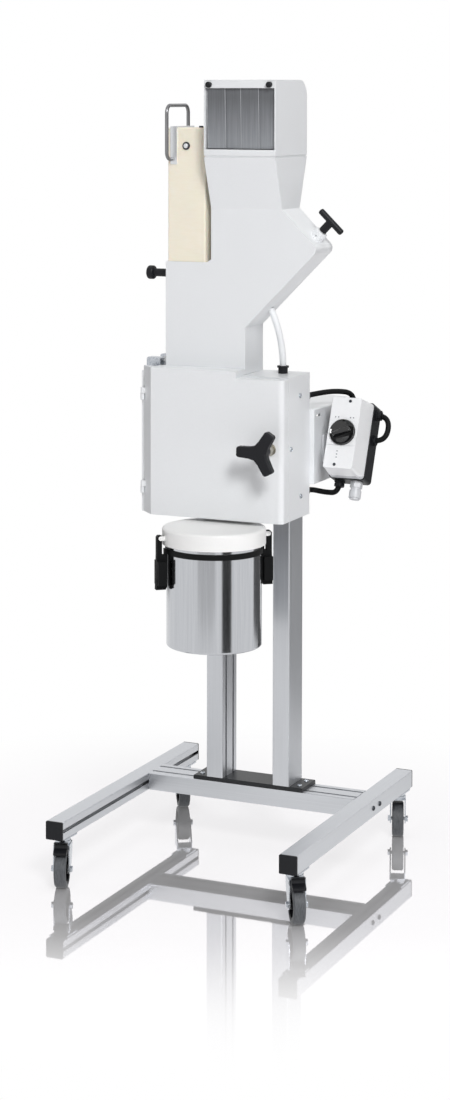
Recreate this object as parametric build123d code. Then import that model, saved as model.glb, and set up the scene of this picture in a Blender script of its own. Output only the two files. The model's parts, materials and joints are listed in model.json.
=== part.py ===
"""Cutting mill on a wheeled stand, for shredding food and other soft bulk goods.

A rotor turns inside a block behind a front door. Goods drop down a bent feed chute, a plastic
plunger and a sloping pusher press them onto the rotor, and what passes the sieve falls into a
steel vessel clipped under the housing. Sizes are millimetres. The origin is on the floor at the
middle of the stand, +X is the viewer's right, +Y runs to the back and +Z is up.
"""

import os
from math import cos, degrees, radians, sin, tan

from build123d import *

# Stand of aluminium extrusions
PROFILE = 40.0
STAND_WIDTH = 582.0
RAIL_LENGTH = 700.0
CASTER_HEIGHT = 109.0
BEAM_Y = 116.0
POST_PITCH = 162.0
POST_MIDDLE = -4.5
POST_TOP = 838.0
POST_PLATE_LENGTH = 267.0
POST_PLATE_THICK = 9.0
END_CAP_THICK = 4.0
PROFILE_CORNER = 2.5
SLOT_MOUTH = 8.2
SLOT_LIP = 4.5
SLOT_DEPTH = 12.3
SLOT_WIDTH = 20.0
SLOT_FLOOR = 9.0
CORE_BORE = 6.8

# Casters
WHEEL_RADIUS = 40.0
WHEEL_WIDTH = 26.0
TYRE_THICK = 9.0
CASTER_X = 271.0
CASTER_Y = 312.0
CASTER_TRAIL = 16.0
AXLE_RADIUS = 4.0
FORK_GAP = 31.0
FORK_SHEET = 2.5
SWIVEL_RADIUS = 17.0
KINGPIN_RADIUS = 5.0
CASTER_HEADINGS = {"front_left": 19.0, "front_right": 32.0, "rear_right": 199.0, "rear_left": 212.0}
BRAKED = ("front_left", "front_right")

# Housing, with the door in front of it
HOUSING_X = (-208.0, 145.0)
HOUSING_Y = (-49.0, 76.0)
HOUSING_Z = (780.0, 1095.0)
HOUSING_WALL = 5.0
DOOR_GAP = 1.8
DOOR_THICK = 32.0
DOOR_LEFT = -202.0
DOOR_CORNER = 12.0
DOOR_TOP = 1092.0
DOOR_CREST = 1107.0
CREST_RIGHT = 35.0
HINGE_AXIS = (-203.0, -56.0)
BARREL_RADIUS = 4.2
BARREL_LENGTH = 14.0
HINGE_HEIGHTS = (822.0, 1030.0)
HINGE_PIN_RADIUS = 2.5

# Rotor, its chamber and its drive
ROTOR_X = -45.0
ROTOR_Z = 928.0
ROTOR_RADIUS = 63.0
ROTOR_DISCS = 6
ROTOR_ARMS = 3
ROTOR_STAGGER = 20.0
CHAMBER_RADIUS = 67.0
CHAMBER_X = (-166.0, 60.0)
CHAMBER_TOP = 1090.0
CHAMBER_BACK = 60.0
INLET_X = (-155.0, 31.0)
THROAT_EASE = 1.5
SIEVE_THICK = 1.8
SIEVE_ANGLES = (200.0, 340.0)
SIEVE_HOLE = 9.0
SHAFT_RADIUS = 15.0
BEARING_RADIUS = 27.0
MOTOR_RADIUS = 66.0
MOTOR_LENGTH = 200.0
COVER_X = (-175.0, 155.0)
COVER_BACK = 330.0
COVER_Z = (846.0, 1013.0)
COVER_CORNER = 35.0
COVER_WALL = 3.0

# Star grip that screws the door shut
GRIP_X = 116.0
GRIP_Z = 942.0
GRIP_Y = -144.0
GRIP_REACH = 51.0
COLLAR_LENGTH = 28.0
GRIP_ANGLES = (178.0, 58.0, -62.0)
GRIP_THICK = 20.0
SPINDLE_RADIUS = 8.0
SOCKET_CLEARANCE = 1.6

# Folding hopper: a bent chute with a hood on top
HOPPER_AXIS = (-190.0, 1110.0)
HOPPER_PIN_RADIUS = 4.0
CHUTE_Y = (-30.0, 70.0)
CHUTE_X = (-158.0, 34.0)
DUCT_X = (-48.0, 121.0)
CHUTE_SHEET = 3.0
CHUTE_FOOT = 1095.6
SHOULDER_Z = 1339.0
NECK_Z = 1199.0
KNEE = (205.0, 1373.0)
KNEE_RADIUS = 15.0
FUNNEL_FOOT = 1459.0
FUNNEL_TOP = 1571.5
HOOD_SEAM = 1.5
HOOD_Y = (-69.0, 112.0)
HOOD_Z = (1575.0, 1740.0)
HOOD_MOUTH_Z = (1589.0, 1722.0)
HOOD_CROWN = 40.0
STRIP_THICK = 2.0
STRIP_COUNT = 4
HOOD_KNOB_X = (-35.5, 107.0)

# Plunger in the left shaft, with its lock
PLUNGER_X = (-154.5, -63.5)
PLUNGER_TOP = 1635.0
PLUNGER_LENGTH = 425.0
PLUNGER_GAP = 0.5
BRACKET_X = -139.5
BAIL_X = -145.0
BRACKET_WIDTH = 15.0
BRACKET_SHEET = 3.0
BAIL_RADIUS = 4.0
LOCK_Y = 20.0
LOCK_Z = 1309.0
LOCK_PIN_RADIUS = 5.0
LOCK_KNOB_X = -225.0

# Sloping pusher
BOSS_FOOT = (180.0, 1396.5)
PUSH_ROD_RADIUS = 6.0
PUSH_DEPTH = 150.0
TEE_REACH = 50.0
TEE_LENGTH = 70.0
TEE_RADIUS = 7.0

# Interlock rod that follows the hopper's fold
INTERLOCK_Y = 30.0
INTERLOCK_RADIUS = 289.0
INTERLOCK_ROD_RADIUS = 7.2

# Outlet and vessel
LID_Y = -120.0
LID_RADIUS = 113.0
LID_Z = (736.0, 772.0)
OUTLET_X = (-55.0, 55.0)
OUTLET_Y = (-43.0, -16.0)
VESSEL_RADIUS = 104.0
VESSEL_BOTTOM = 512.0
VESSEL_WALL = 1.5
BAND_TALL = 12.0
BAND_DROP = 7.5
LATCH_ANGLES = {"front_latch": 220.0, "rear_latch": 40.0}
LATCH_PIVOT = (121.5, 752.0)
LATCH_LENGTH = 112.0
LATCH_EAR = 2.4

# Control box on its bracket, leaning back
CONTROL_CENTRE = (222.0, 74.7, 965.1)
CONTROL_LEAN = 23.0
CONTROL_SIZE = (80.0, 173.0)
CONTROL_COVER_DEPTH = 65.0
CONTROL_BASE_DEPTH = 45.0
CONTROL_SPLIT = -29.0
SWITCH_Y = 1.0
SWITCH_RADIUS = 28.5
LEAD_RADIUS = 6.0
HIGH_LEAD_BEND = (172.0, 150.0, 1047.0)
LOW_LEAD_BEND = (168.0, 114.0, 823.0)
LEAD_RUN = 34.0
LEAD_RISE = 27.0
LOOP_ENDS = (66.0, 8.0)
LOOP_REACH = 31.0

# Running and seating clearances
RUNNING = 0.05
SEATED = 0.3

RAIL_X = STAND_WIDTH / 2 - PROFILE / 2
RAIL_Z = CASTER_HEIGHT + PROFILE / 2
RAIL_TOP = CASTER_HEIGHT + PROFILE
DOOR_BACK = HOUSING_Y[0] - DOOR_GAP
DOOR_FRONT = DOOR_BACK - DOOR_THICK
POST_FOOT = RAIL_TOP + POST_PLATE_THICK
BAND_Z = (LID_Z[0] - BAND_DROP - BAND_TALL, LID_Z[0] - BAND_DROP)
LATCH_TIP_Z = LATCH_PIVOT[1] - LATCH_LENGTH
CHUTE_INNER_Y = (CHUTE_Y[0] + CHUTE_SHEET, CHUTE_Y[1] - CHUTE_SHEET)
PLUNGER_Y = (CHUTE_INNER_Y[0] + PLUNGER_GAP, CHUTE_INNER_Y[1] - PLUNGER_GAP)
PLUNGER_FOOT = PLUNGER_TOP - PLUNGER_LENGTH
THROAT_X = (INLET_X[0] - THROAT_EASE, INLET_X[1] + THROAT_EASE)
THROAT_Y = (CHUTE_INNER_Y[0] - THROAT_EASE, CHUTE_INNER_Y[1] + THROAT_EASE)

nodes = {}


def slab(x, y, z):
    """A block between a low and a high value on each axis."""
    spans = (x, y, z)
    middle = [(low + high) / 2 for low, high in spans]
    return Pos(*middle) * Box(*[high - low for low, high in spans])


def rod(start, along, radius, length):
    """A round bar from a start point in a direction."""
    upright = Cylinder(radius, length, align=(Align.CENTER, Align.CENTER, Align.MIN))
    return Plane(origin=start, z_dir=along) * upright


def front_outline(points):
    """A flat outline drawn in X and Z."""
    return Polygon(*points, align=None)


def deepen(outline, y):
    """An outline in X and Z, extruded from one depth to another."""
    plane = Plane(origin=(0, y[1], 0), x_dir=(1, 0, 0), z_dir=(0, -1, 0))
    return extrude(plane * outline, y[1] - y[0], dir=(0, -1, 0))


def raise_up(outline, z):
    """An outline in X and Y, extruded from one height to another."""
    return extrude(Pos(0, 0, z[0]) * outline, z[1] - z[0], dir=(0, 0, 1))


def across(outline, x):
    """An outline in Y and Z, extruded from one X to another."""
    plane = Plane(origin=(x[0], 0, 0), x_dir=(0, 1, 0), z_dir=(1, 0, 0))
    return extrude(plane * outline, x[1] - x[0], dir=(1, 0, 0))


def round_corner(outline, point, radius):
    """The outline with the corner nearest a point rounded off."""
    corner = outline.vertices().sort_by_distance(Vector(*point, 0))[0]
    return fillet(corner, radius)


def group(parts):
    """Separate solids that share one node."""
    return Compound(children=[solid for part in parts for solid in part.solids()])


def t_slot():
    """The void of one T slot that opens towards +X at the origin."""
    mouth = Pos(-SLOT_LIP / 2 + 0.5, 0) * Rectangle(SLOT_LIP + 1, SLOT_MOUTH)
    low, wide, narrow = -SLOT_DEPTH, SLOT_WIDTH / 2, SLOT_FLOOR / 2
    step = -SLOT_LIP - 2
    pocket = Polygon(
        (-SLOT_LIP, -wide), (-SLOT_LIP, wide), (step, wide),
        (low, narrow), (low, -narrow), (step, -wide), align=None,
    )
    return mouth + pocket


def profile_section(wide, high, slots):
    """An extruded bar's section, with T slots at (x, y, angle) and core bores."""
    section = RectangleRounded(wide, high, PROFILE_CORNER)
    for x, y, angle in slots:
        section -= Pos(x, y) * Rot(Z=angle) * t_slot()
    for column in range(round(wide / PROFILE)):
        for row in range(round(high / PROFILE)):
            x = (column + 0.5) * PROFILE - wide / 2
            y = (row + 0.5) * PROFILE - high / 2
            section -= Pos(x, y) * Circle(CORE_BORE / 2)
    return section


def cap_screw(at, along, radius, length=14.0):
    """A button head screw: head on the surface, shank going into it."""
    head = rod(at, along, radius, radius * 0.55)
    head = fillet(head.edges().sort_by(Axis(origin=at, direction=along))[-1], radius * 0.4)
    head -= rod(Vector(*at) + Vector(*along) * radius * 0.25, along, radius * 0.45, radius)
    return head + rod(at, Vector(*along) * -1, radius * 0.5, length)


def screw_hole(at, along, radius, length=14.0):
    """The clearance hole for a screw's shank."""
    return rod(Vector(*at) + Vector(*along) * 2, Vector(*along) * -1, radius * 0.5, length + 2)


POST_SCREWS = [
    (POST_MIDDLE + side * (POST_PLATE_LENGTH / 2 - 14), BEAM_Y + row, POST_FOOT)
    for side in (-1, 1) for row in (-PROFILE / 2, PROFILE / 2)
]
RAIL_SCREWS = [(STAND_WIDTH / 2, BEAM_Y + row, RAIL_Z) for row in (-PROFILE / 2, PROFILE / 2)]
RAIL_SCREWS += [(-x, y, z) for x, y, z in RAIL_SCREWS]
SIDE_SCREWS = [
    (HOUSING_X[1], 15.0, HOUSING_Z[1] - 45),
    (HOUSING_X[1], -36.0, HOUSING_Z[0] + 158),
    (HOUSING_X[1], 21.0, HOUSING_Z[0] + 47),
]
SCREW_RADIUS = 5.5


def outward(at):
    """The side of the stand or housing that a side screw faces."""
    return (1, 0, 0) if at[0] > 0 else (-1, 0, 0)


def build_stand():
    """Two floor rails, the beam between them, and two posts on a plate."""
    half = PROFILE / 2
    for name, side in (("left_rail", -1), ("right_rail", 1)):
        inner_angle = 0 if side < 0 else 180
        section = profile_section(PROFILE, PROFILE, [(-side * half, 0, inner_angle), (0, -half, 270)])
        rail = Pos(side * RAIL_X, 0, RAIL_Z) * deepen(section, (-RAIL_LENGTH / 2, RAIL_LENGTH / 2))
        for at in RAIL_SCREWS:
            if at[0] * side > 0:
                rail -= screw_hole(at, outward(at), SCREW_RADIUS, PROFILE)
        nodes[name] = rail
    beam_slots = [(x, y, angle) for x in (-half, half) for y, angle in ((half, 90), (-half, 270))]
    beam_section = profile_section(2 * PROFILE, PROFILE, beam_slots)
    beam_length = STAND_WIDTH - 2 * PROFILE
    plane = Plane(origin=(-beam_length / 2, BEAM_Y, RAIL_Z), x_dir=(0, 1, 0), z_dir=(1, 0, 0))
    nodes["crossbeam"] = extrude(plane * beam_section, beam_length)
    plate = Pos(POST_MIDDLE, BEAM_Y, RAIL_TOP + POST_PLATE_THICK / 2) * Box(
        POST_PLATE_LENGTH, 2 * PROFILE, POST_PLATE_THICK
    )
    plate = chamfer(plate.edges().group_by(Axis.Z)[-1], 1.2)
    for at in POST_SCREWS:
        plate -= screw_hole(at, (0, 0, 1), SCREW_RADIUS, POST_PLATE_THICK)
    nodes["post_plate"] = plate
    for name, side in (("left_post", -1), ("right_post", 1)):
        inner_angle = 0 if side < 0 else 180
        post_slots = [(-side * half, y, inner_angle) for y in (-half, half)]
        post_section = profile_section(PROFILE, 2 * PROFILE, post_slots)
        at = Pos(POST_MIDDLE + side * POST_PITCH / 2, BEAM_Y)
        nodes[name] = raise_up(at * post_section, (POST_FOOT, POST_TOP))
    caps = []
    for side in (-1, 1):
        for end in (-1, 1):
            low = end * RAIL_LENGTH / 2
            span = sorted((low, low + end * END_CAP_THICK))
            cap = deepen(RectangleRounded(PROFILE, PROFILE, PROFILE_CORNER), span)
            stem = rod((0, low, 0), (0, -end, 0), CORE_BORE / 2 - SEATED, 12)
            caps.append(Pos(side * RAIL_X, 0, RAIL_Z) * (cap + stem))
    nodes["rail_end_caps"] = group(caps)


def caster_parts(braked):
    """One swivel caster with its stem at the origin, trailing towards -Y."""
    hub_radius = WHEEL_RADIUS - TYRE_THICK
    axle_at = (CASTER_TRAIL, WHEEL_RADIUS)
    plate_z, race_z = CASTER_HEIGHT - 3.5, CASTER_HEIGHT - 9
    fork_top = race_z - SEATED
    crown = fork_top - 6
    gap, outer = FORK_GAP / 2, FORK_GAP / 2 + FORK_SHEET
    plate = Pos(0, 0, (plate_z + CASTER_HEIGHT) / 2) * Box(38, 58, CASTER_HEIGHT - plate_z)
    plate += rod((0, 0, race_z), (0, 0, 1), SWIVEL_RADIUS - 1, plate_z - race_z)
    pin_foot = crown - FORK_SHEET - 3
    plate += rod((0, 0, pin_foot), (0, 0, 1), KINGPIN_RADIUS, race_z - pin_foot)
    plate += rod((0, 0, pin_foot), (0, 0, 1), KINGPIN_RADIUS + 3, 3 - SEATED)
    eye = Circle(11)
    cheek = make_hull(
        (Pos(-CASTER_TRAIL, WHEEL_RADIUS) * eye).edges()
        + (Pos(-3.5, crown - 8) * Rectangle(41, 16)).edges()
    )
    fork = across(cheek, (-outer, outer))
    fork -= slab((-gap, gap), (-60, 60), (0, crown - FORK_SHEET))
    fork += rod((0, 0, crown - FORK_SHEET), (0, 0, 1), SWIVEL_RADIUS, fork_top - crown + FORK_SHEET)
    fork -= rod((0, 0, crown - FORK_SHEET - 1), (0, 0, 1), KINGPIN_RADIUS + RUNNING, 20)
    centre = (-outer - 5, -axle_at[0], axle_at[1])
    axle_hole = rod(centre, (1, 0, 0), AXLE_RADIUS, 2 * outer + 10)
    fork -= axle_hole
    axle = axle_hole
    for side in (-1, 1):
        face = (side * outer, -axle_at[0], axle_at[1])
        nut = Plane(origin=face, z_dir=(side, 0, 0)) * extrude(RegularPolygon(7, 6), 5)
        axle += nut
    fork_group = [fork, axle]
    tyre_half = WHEEL_WIDTH / 2
    tyre_section = Polygon(
        (hub_radius, -tyre_half), (WHEEL_RADIUS - 3, -tyre_half), (WHEEL_RADIUS, -tyre_half + 3),
        (WHEEL_RADIUS, tyre_half - 3), (WHEEL_RADIUS - 3, tyre_half), (hub_radius, tyre_half),
        align=None,
    )
    hub_section = Polygon(
        (AXLE_RADIUS + RUNNING, -tyre_half), (10, -tyre_half), (10, -6), (hub_radius - 4, -4),
        (hub_radius - 4, -tyre_half + 1), (hub_radius, -tyre_half + 1), (hub_radius, tyre_half - 1),
        (hub_radius - 4, tyre_half - 1), (hub_radius - 4, 4), (10, 6), (10, tyre_half),
        (AXLE_RADIUS + RUNNING, tyre_half), align=None,
    )
    turn = Pos(0, -axle_at[0], axle_at[1]) * Rot(Y=90)
    wheel_group = []
    for section in (tyre_section, hub_section):
        ring = revolve(Plane.XZ * section, Axis.Z)
        wheel_group.append(turn * ring)
    pedal = None
    if braked:
        pivot = (-19.0, crown - 7)
        tread = Polygon(
            (-16, crown - 12), (-22, crown - 12), (-47, crown - 16), (-50, crown - 10),
            (-36, crown - 3), (-34, crown + 5), (-44, crown + 10), (-24, crown + 7),
            (-19, crown - 2), align=None,
        )
        pedal = across(tread, (1 - gap, gap - 1))
        pedal -= slab((-gap, gap), (-26, 20), (crown - 4, crown + 20))
        pivot_start = (-outer, pivot[0], pivot[1])
        pedal += rod((-outer + SEATED, pivot[0], pivot[1]), (1, 0, 0), 2, 2 * (outer - SEATED))
        fork_group[0] = fork - rod(pivot_start, (1, 0, 0), 2 + RUNNING, 2 * outer)
    return plate, fork_group, wheel_group, pedal


def build_casters():
    """Four casters, each turned to its own heading."""
    plates = []
    for corner, heading in CASTER_HEADINGS.items():
        x = CASTER_X if corner.endswith("right") else -CASTER_X
        y = -CASTER_Y if corner.startswith("front") else CASTER_Y
        braked = corner in BRAKED
        plate, fork, wheel, pedal = caster_parts(braked)
        place = Pos(x, y) * Rot(Z=heading)
        plates.append(Pos(x, y) * plate)
        nodes[corner + "_fork"] = group([place * piece for piece in fork])
        nodes[corner + "_wheel"] = group([place * piece for piece in wheel])
        if braked:
            nodes[corner + "_brake"] = place * pedal
    nodes["caster_plates"] = group(plates)


def interlock_path():
    """The arc that the interlock rod follows, about the hopper's hinge."""
    axis_x, axis_z = HOPPER_AXIS
    return CenterArc((axis_x, axis_z), INTERLOCK_RADIUS, -18, 44)


def interlock_sweep(radius):
    """A bar of the given radius bent along the interlock arc."""
    plane = Plane(origin=(0, INTERLOCK_Y, 0), x_dir=(1, 0, 0), z_dir=(0, -1, 0))
    arc = plane * interlock_path()
    start = arc @ 0
    section = Plane(origin=start, z_dir=arc % 0) * Circle(radius)
    return sweep(section, arc)


def chamber_void():
    """The space the rotor turns in, with its throat and the drop to the outlet."""
    front, back = HOUSING_Y[0] - 1, CHAMBER_BACK
    ring = Pos(ROTOR_X, ROTOR_Z) * Circle(CHAMBER_RADIUS)
    left, right = ROTOR_X - CHAMBER_RADIUS, ROTOR_X + CHAMBER_RADIUS
    throat = front_outline([
        (INLET_X[0], CHAMBER_TOP + 1), (INLET_X[0], ROTOR_Z + 78), (left, ROTOR_Z),
        (right, ROTOR_Z), (right, ROTOR_Z + 45), (INLET_X[1], ROTOR_Z + 70),
        (INLET_X[1], CHAMBER_TOP + 1),
    ])
    void = deepen(ring + throat, (front, back))
    void += slab(THROAT_X, THROAT_Y, (ROTOR_Z + 77, CHAMBER_TOP + 1))
    seat = Pos(ROTOR_X, ROTOR_Z) * (
        Circle(CHAMBER_RADIUS + SIEVE_THICK + 0.4) & Pos(0, -90) * Rectangle(200, 137)
    )
    void += deepen(seat, (front, back))
    hopper_top = ROTOR_Z - CHAMBER_RADIUS * 0.75
    span = CHAMBER_RADIUS * 0.62
    top = Pos(ROTOR_X, 0, hopper_top) * Pos(0, (HOUSING_Y[0] + back) / 2) * Rectangle(
        2 * span, back - HOUSING_Y[0] - 8
    )
    floor_z = HOUSING_Z[0] + HOUSING_WALL - 1
    bottom = level(OUTLET_X, OUTLET_Y, floor_z + 8)
    return void + loft([top, bottom]) + slab(OUTLET_X, OUTLET_Y, (floor_z, floor_z + 8))


def build_housing():
    """The painted housing shell, open to the front, and the block inside it."""
    wall = HOUSING_WALL
    plan = Pos(sum(HOUSING_X) / 2, sum(HOUSING_Y) / 2) * Rectangle(
        HOUSING_X[1] - HOUSING_X[0], HOUSING_Y[1] - HOUSING_Y[0]
    )
    plan = fillet(plan.vertices().group_by(Axis.Y)[-1], 3)
    shell = raise_up(plan, HOUSING_Z)
    inside_x = (HOUSING_X[0] + wall, HOUSING_X[1] - wall)
    inside_z = (HOUSING_Z[0] + wall, HOUSING_Z[1] - wall)
    shell -= slab(inside_x, (HOUSING_Y[0] - 1, HOUSING_Y[1] - wall), inside_z)
    socket_boss = slab((GRIP_X - 20, inside_x[1]), (HOUSING_Y[0], -6), (GRIP_Z - 22, GRIP_Z + 22))
    socket_boss -= rod(
        (GRIP_X, HOUSING_Y[0] - 1, GRIP_Z), (0, 1, 0), SPINDLE_RADIUS + SOCKET_CLEARANCE, 60
    )
    shell += socket_boss
    shell -= slab(THROAT_X, THROAT_Y, (inside_z[1] - 1, HOUSING_Z[1] + 1))
    shell -= slab(OUTLET_X, OUTLET_Y, (HOUSING_Z[0] - 1, inside_z[0] + 1))
    shell -= rod((ROTOR_X, 60, ROTOR_Z), (0, 1, 0), SHAFT_RADIUS + 3, 30)
    shell -= interlock_sweep(INTERLOCK_ROD_RADIUS + 1.2)
    for at in SIDE_SCREWS:
        shell -= screw_hole(at, (1, 0, 0), SCREW_RADIUS)
    nodes["mill_housing"] = shell

    block = slab(CHAMBER_X, (HOUSING_Y[0], HOUSING_Y[1] - wall), (inside_z[0], CHAMBER_TOP))
    block -= chamber_void()
    block -= rod((ROTOR_X, CHAMBER_BACK - 1, ROTOR_Z), (0, 1, 0), BEARING_RADIUS, 30)
    for at, turn in knife_places():
        block -= at * turn * knife_blank(SEATED / 3)
    nodes["chamber_block"] = block


def knife_blank(grow=0.0):
    """One fixed cutting bar, flat on its seat and bevelled at its edge."""
    low, high = -2 - grow, 18 + grow
    bar = Polygon((low, -4 - grow), (high, -4 - grow), (high, 4 + grow), (low + 6, 4 + grow), align=None)
    return deepen(bar, (HOUSING_Y[0] + 3, CHAMBER_BACK))


def knife_places():
    """Where the two fixed bars sit beside the rotor, edges inwards."""
    reach = CHAMBER_RADIUS + 0.4
    left = (Pos(ROTOR_X - reach, 0, ROTOR_Z + 2), Rot(Y=180))
    right = (Pos(ROTOR_X + reach, 0, ROTOR_Z + 14), Rot(Y=0))
    return [left, right]


def build_grinder():
    """Rotor, shaft, bearings, fixed knives and the bottom sieve."""
    front, back = HOUSING_Y[0] + 3, CHAMBER_BACK - 3
    disc_thick = (back - front) / ROTOR_DISCS
    disc = Circle(ROTOR_RADIUS)
    for arm in range(ROTOR_ARMS):
        angle = arm * 360 / ROTOR_ARMS
        gullet = Polygon((20, -6), (90, -6), (90, 60), (44, 62), (14, 26), align=None)
        gullet = fillet(gullet.vertices().sort_by_distance(Vector(14, 26, 0))[0], 9)
        disc -= Rot(Z=angle) * gullet
    rotor = None
    for index in range(ROTOR_DISCS):
        y = front + index * disc_thick
        layer = deepen(Rot(Z=index * ROTOR_STAGGER) * disc, (y, y + disc_thick))
        rotor = layer if rotor is None else rotor + layer
    rotor = Pos(ROTOR_X, 0, ROTOR_Z) * rotor
    bore = rod((ROTOR_X, front - 1, ROTOR_Z), (0, 1, 0), SHAFT_RADIUS, 200)
    nodes["rotor"] = rotor - bore
    shaft_end = HOUSING_Y[1] + 60
    shaft = rod((ROTOR_X, front, ROTOR_Z), (0, 1, 0), SHAFT_RADIUS, shaft_end - front)
    shaft += rod((ROTOR_X, front - 2, ROTOR_Z), (0, 1, 0), SHAFT_RADIUS + 4, 2)
    nodes["rotor_shaft"] = shaft
    rings = []
    for y, deep in ((CHAMBER_BACK, HOUSING_Y[1] - HOUSING_WALL - CHAMBER_BACK), (HOUSING_Y[1] + 1, 9)):
        ring = rod((ROTOR_X, y, ROTOR_Z), (0, 1, 0), BEARING_RADIUS, deep)
        ring -= rod((ROTOR_X, y - 1, ROTOR_Z), (0, 1, 0), SHAFT_RADIUS + RUNNING, deep + 2)
        rings.append(ring)
    nodes["shaft_bearings"] = group(rings)
    knives = [at * turn * knife_blank() for at, turn in knife_places()]
    nodes["fixed_knives"] = group(knives)

    middle = Pos(ROTOR_X, ROTOR_Z)
    radius = CHAMBER_RADIUS + SIEVE_THICK + 0.2
    low, high = SIEVE_ANGLES
    fan = Polygon(
        (0, 0), (150 * cos(radians(low)), 150 * sin(radians(low))), (0, -220),
        (150 * cos(radians(high)), 150 * sin(radians(high))), align=None,
    )
    arc = (Circle(radius) - Circle(radius - SIEVE_THICK)) & fan
    sieve = deepen(middle * arc, (front, back))
    columns = int((high - low - 8) / degrees(1.8 * SIEVE_HOLE / radius))
    rows = int((back - front - 8) / (1.8 * SIEVE_HOLE))
    pitch = (high - low - 8) / columns
    for column in range(columns):
        angle = radians(low + 4 + (column + 0.5) * pitch)
        along = (cos(angle), 0, sin(angle))
        for row in range(rows):
            y = (front + back) / 2 + (row - (rows - 1) / 2) * 1.8 * SIEVE_HOLE
            start = (ROTOR_X + along[0] * (radius - 8), y, ROTOR_Z + along[2] * (radius - 8))
            sieve -= Plane(origin=start, x_dir=(0, 1, 0), z_dir=along) * extrude(
                Rectangle(SIEVE_HOLE, SIEVE_HOLE), 14
            )
    nodes["bottom_sieve"] = sieve


def build_drive():
    """The bracket on the posts, the motor and the cover over it."""
    plate_x = POST_PITCH / 2 + PROFILE / 2 + 14
    nodes["post_head_plate"] = slab(
        (POST_MIDDLE - plate_x, POST_MIDDLE + plate_x), (HOUSING_Y[1], BEAM_Y + PROFILE),
        (POST_TOP, COVER_Z[0])
    )
    start = (ROTOR_X, HOUSING_Y[1], ROTOR_Z)
    motor = rod(start, (0, 1, 0), MOTOR_RADIUS + 9, 12)
    motor += rod(start, (0, 1, 0), MOTOR_RADIUS - 5, MOTOR_LENGTH)
    for index in range(24):
        angle = radians(index * 15)
        fin = Pos(MOTOR_RADIUS - 4, 0) * Rectangle(8, 3)
        motor += deepen(
            Pos(ROTOR_X, ROTOR_Z) * Rot(Z=degrees(angle)) * fin, (start[1] + 20, start[1] + 150)
        )
    motor += rod((ROTOR_X, start[1] + 155, ROTOR_Z), (0, 1, 0), MOTOR_RADIUS, MOTOR_LENGTH - 155)
    motor -= rod(start, (0, 1, 0), SHAFT_RADIUS + RUNNING, 62)
    motor -= rod(start, (0, 1, 0), BEARING_RADIUS, 10)
    nodes["motor"] = motor

    def cover_plan(inset):
        low_x, high_x = COVER_X[0] + inset, COVER_X[1] - inset
        low_y = HOUSING_Y[1] if inset == 0 else HOUSING_Y[1] - 5
        plan = Pos((low_x + high_x) / 2, (low_y + COVER_BACK - inset) / 2) * Rectangle(
            high_x - low_x, COVER_BACK - inset - low_y
        )
        return fillet(plan.vertices().group_by(Axis.Y)[-1], COVER_CORNER - inset)

    cover = raise_up(cover_plan(0), COVER_Z)
    cover = fillet(cover.edges().group_by(Axis.Z)[-1].filter_by(Axis.Y, reverse=True)[1:], 4)
    inside = raise_up(cover_plan(COVER_WALL), (COVER_Z[0] + COVER_WALL, COVER_Z[1] - COVER_WALL))
    flange_y = (HOUSING_Y[1] - 10, HOUSING_Y[1] + COVER_WALL)
    for low_x, high_x in ((COVER_X[0], HOUSING_X[0] + 50), (HOUSING_X[1] - 10, COVER_X[1])):
        inside -= slab((low_x, high_x), flange_y, COVER_Z)
    cover -= inside
    slot_z = (COVER_Z[1] - 19, COVER_Z[1] - 14)
    cover -= slab((COVER_X[1] - 9, COVER_X[1] + 1), (HOUSING_Y[1] + 10, HOUSING_Y[1] + 40), slot_z)
    for index in range(11):
        x = sum(COVER_X) / 2 + (index - 5) * 18
        cover -= slab((x - 3, x + 3), (COVER_BACK - 9, COVER_BACK + 1), (COVER_Z[0] + 40, COVER_Z[1] - 45))
    nodes["drive_cover"] = cover


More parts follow.
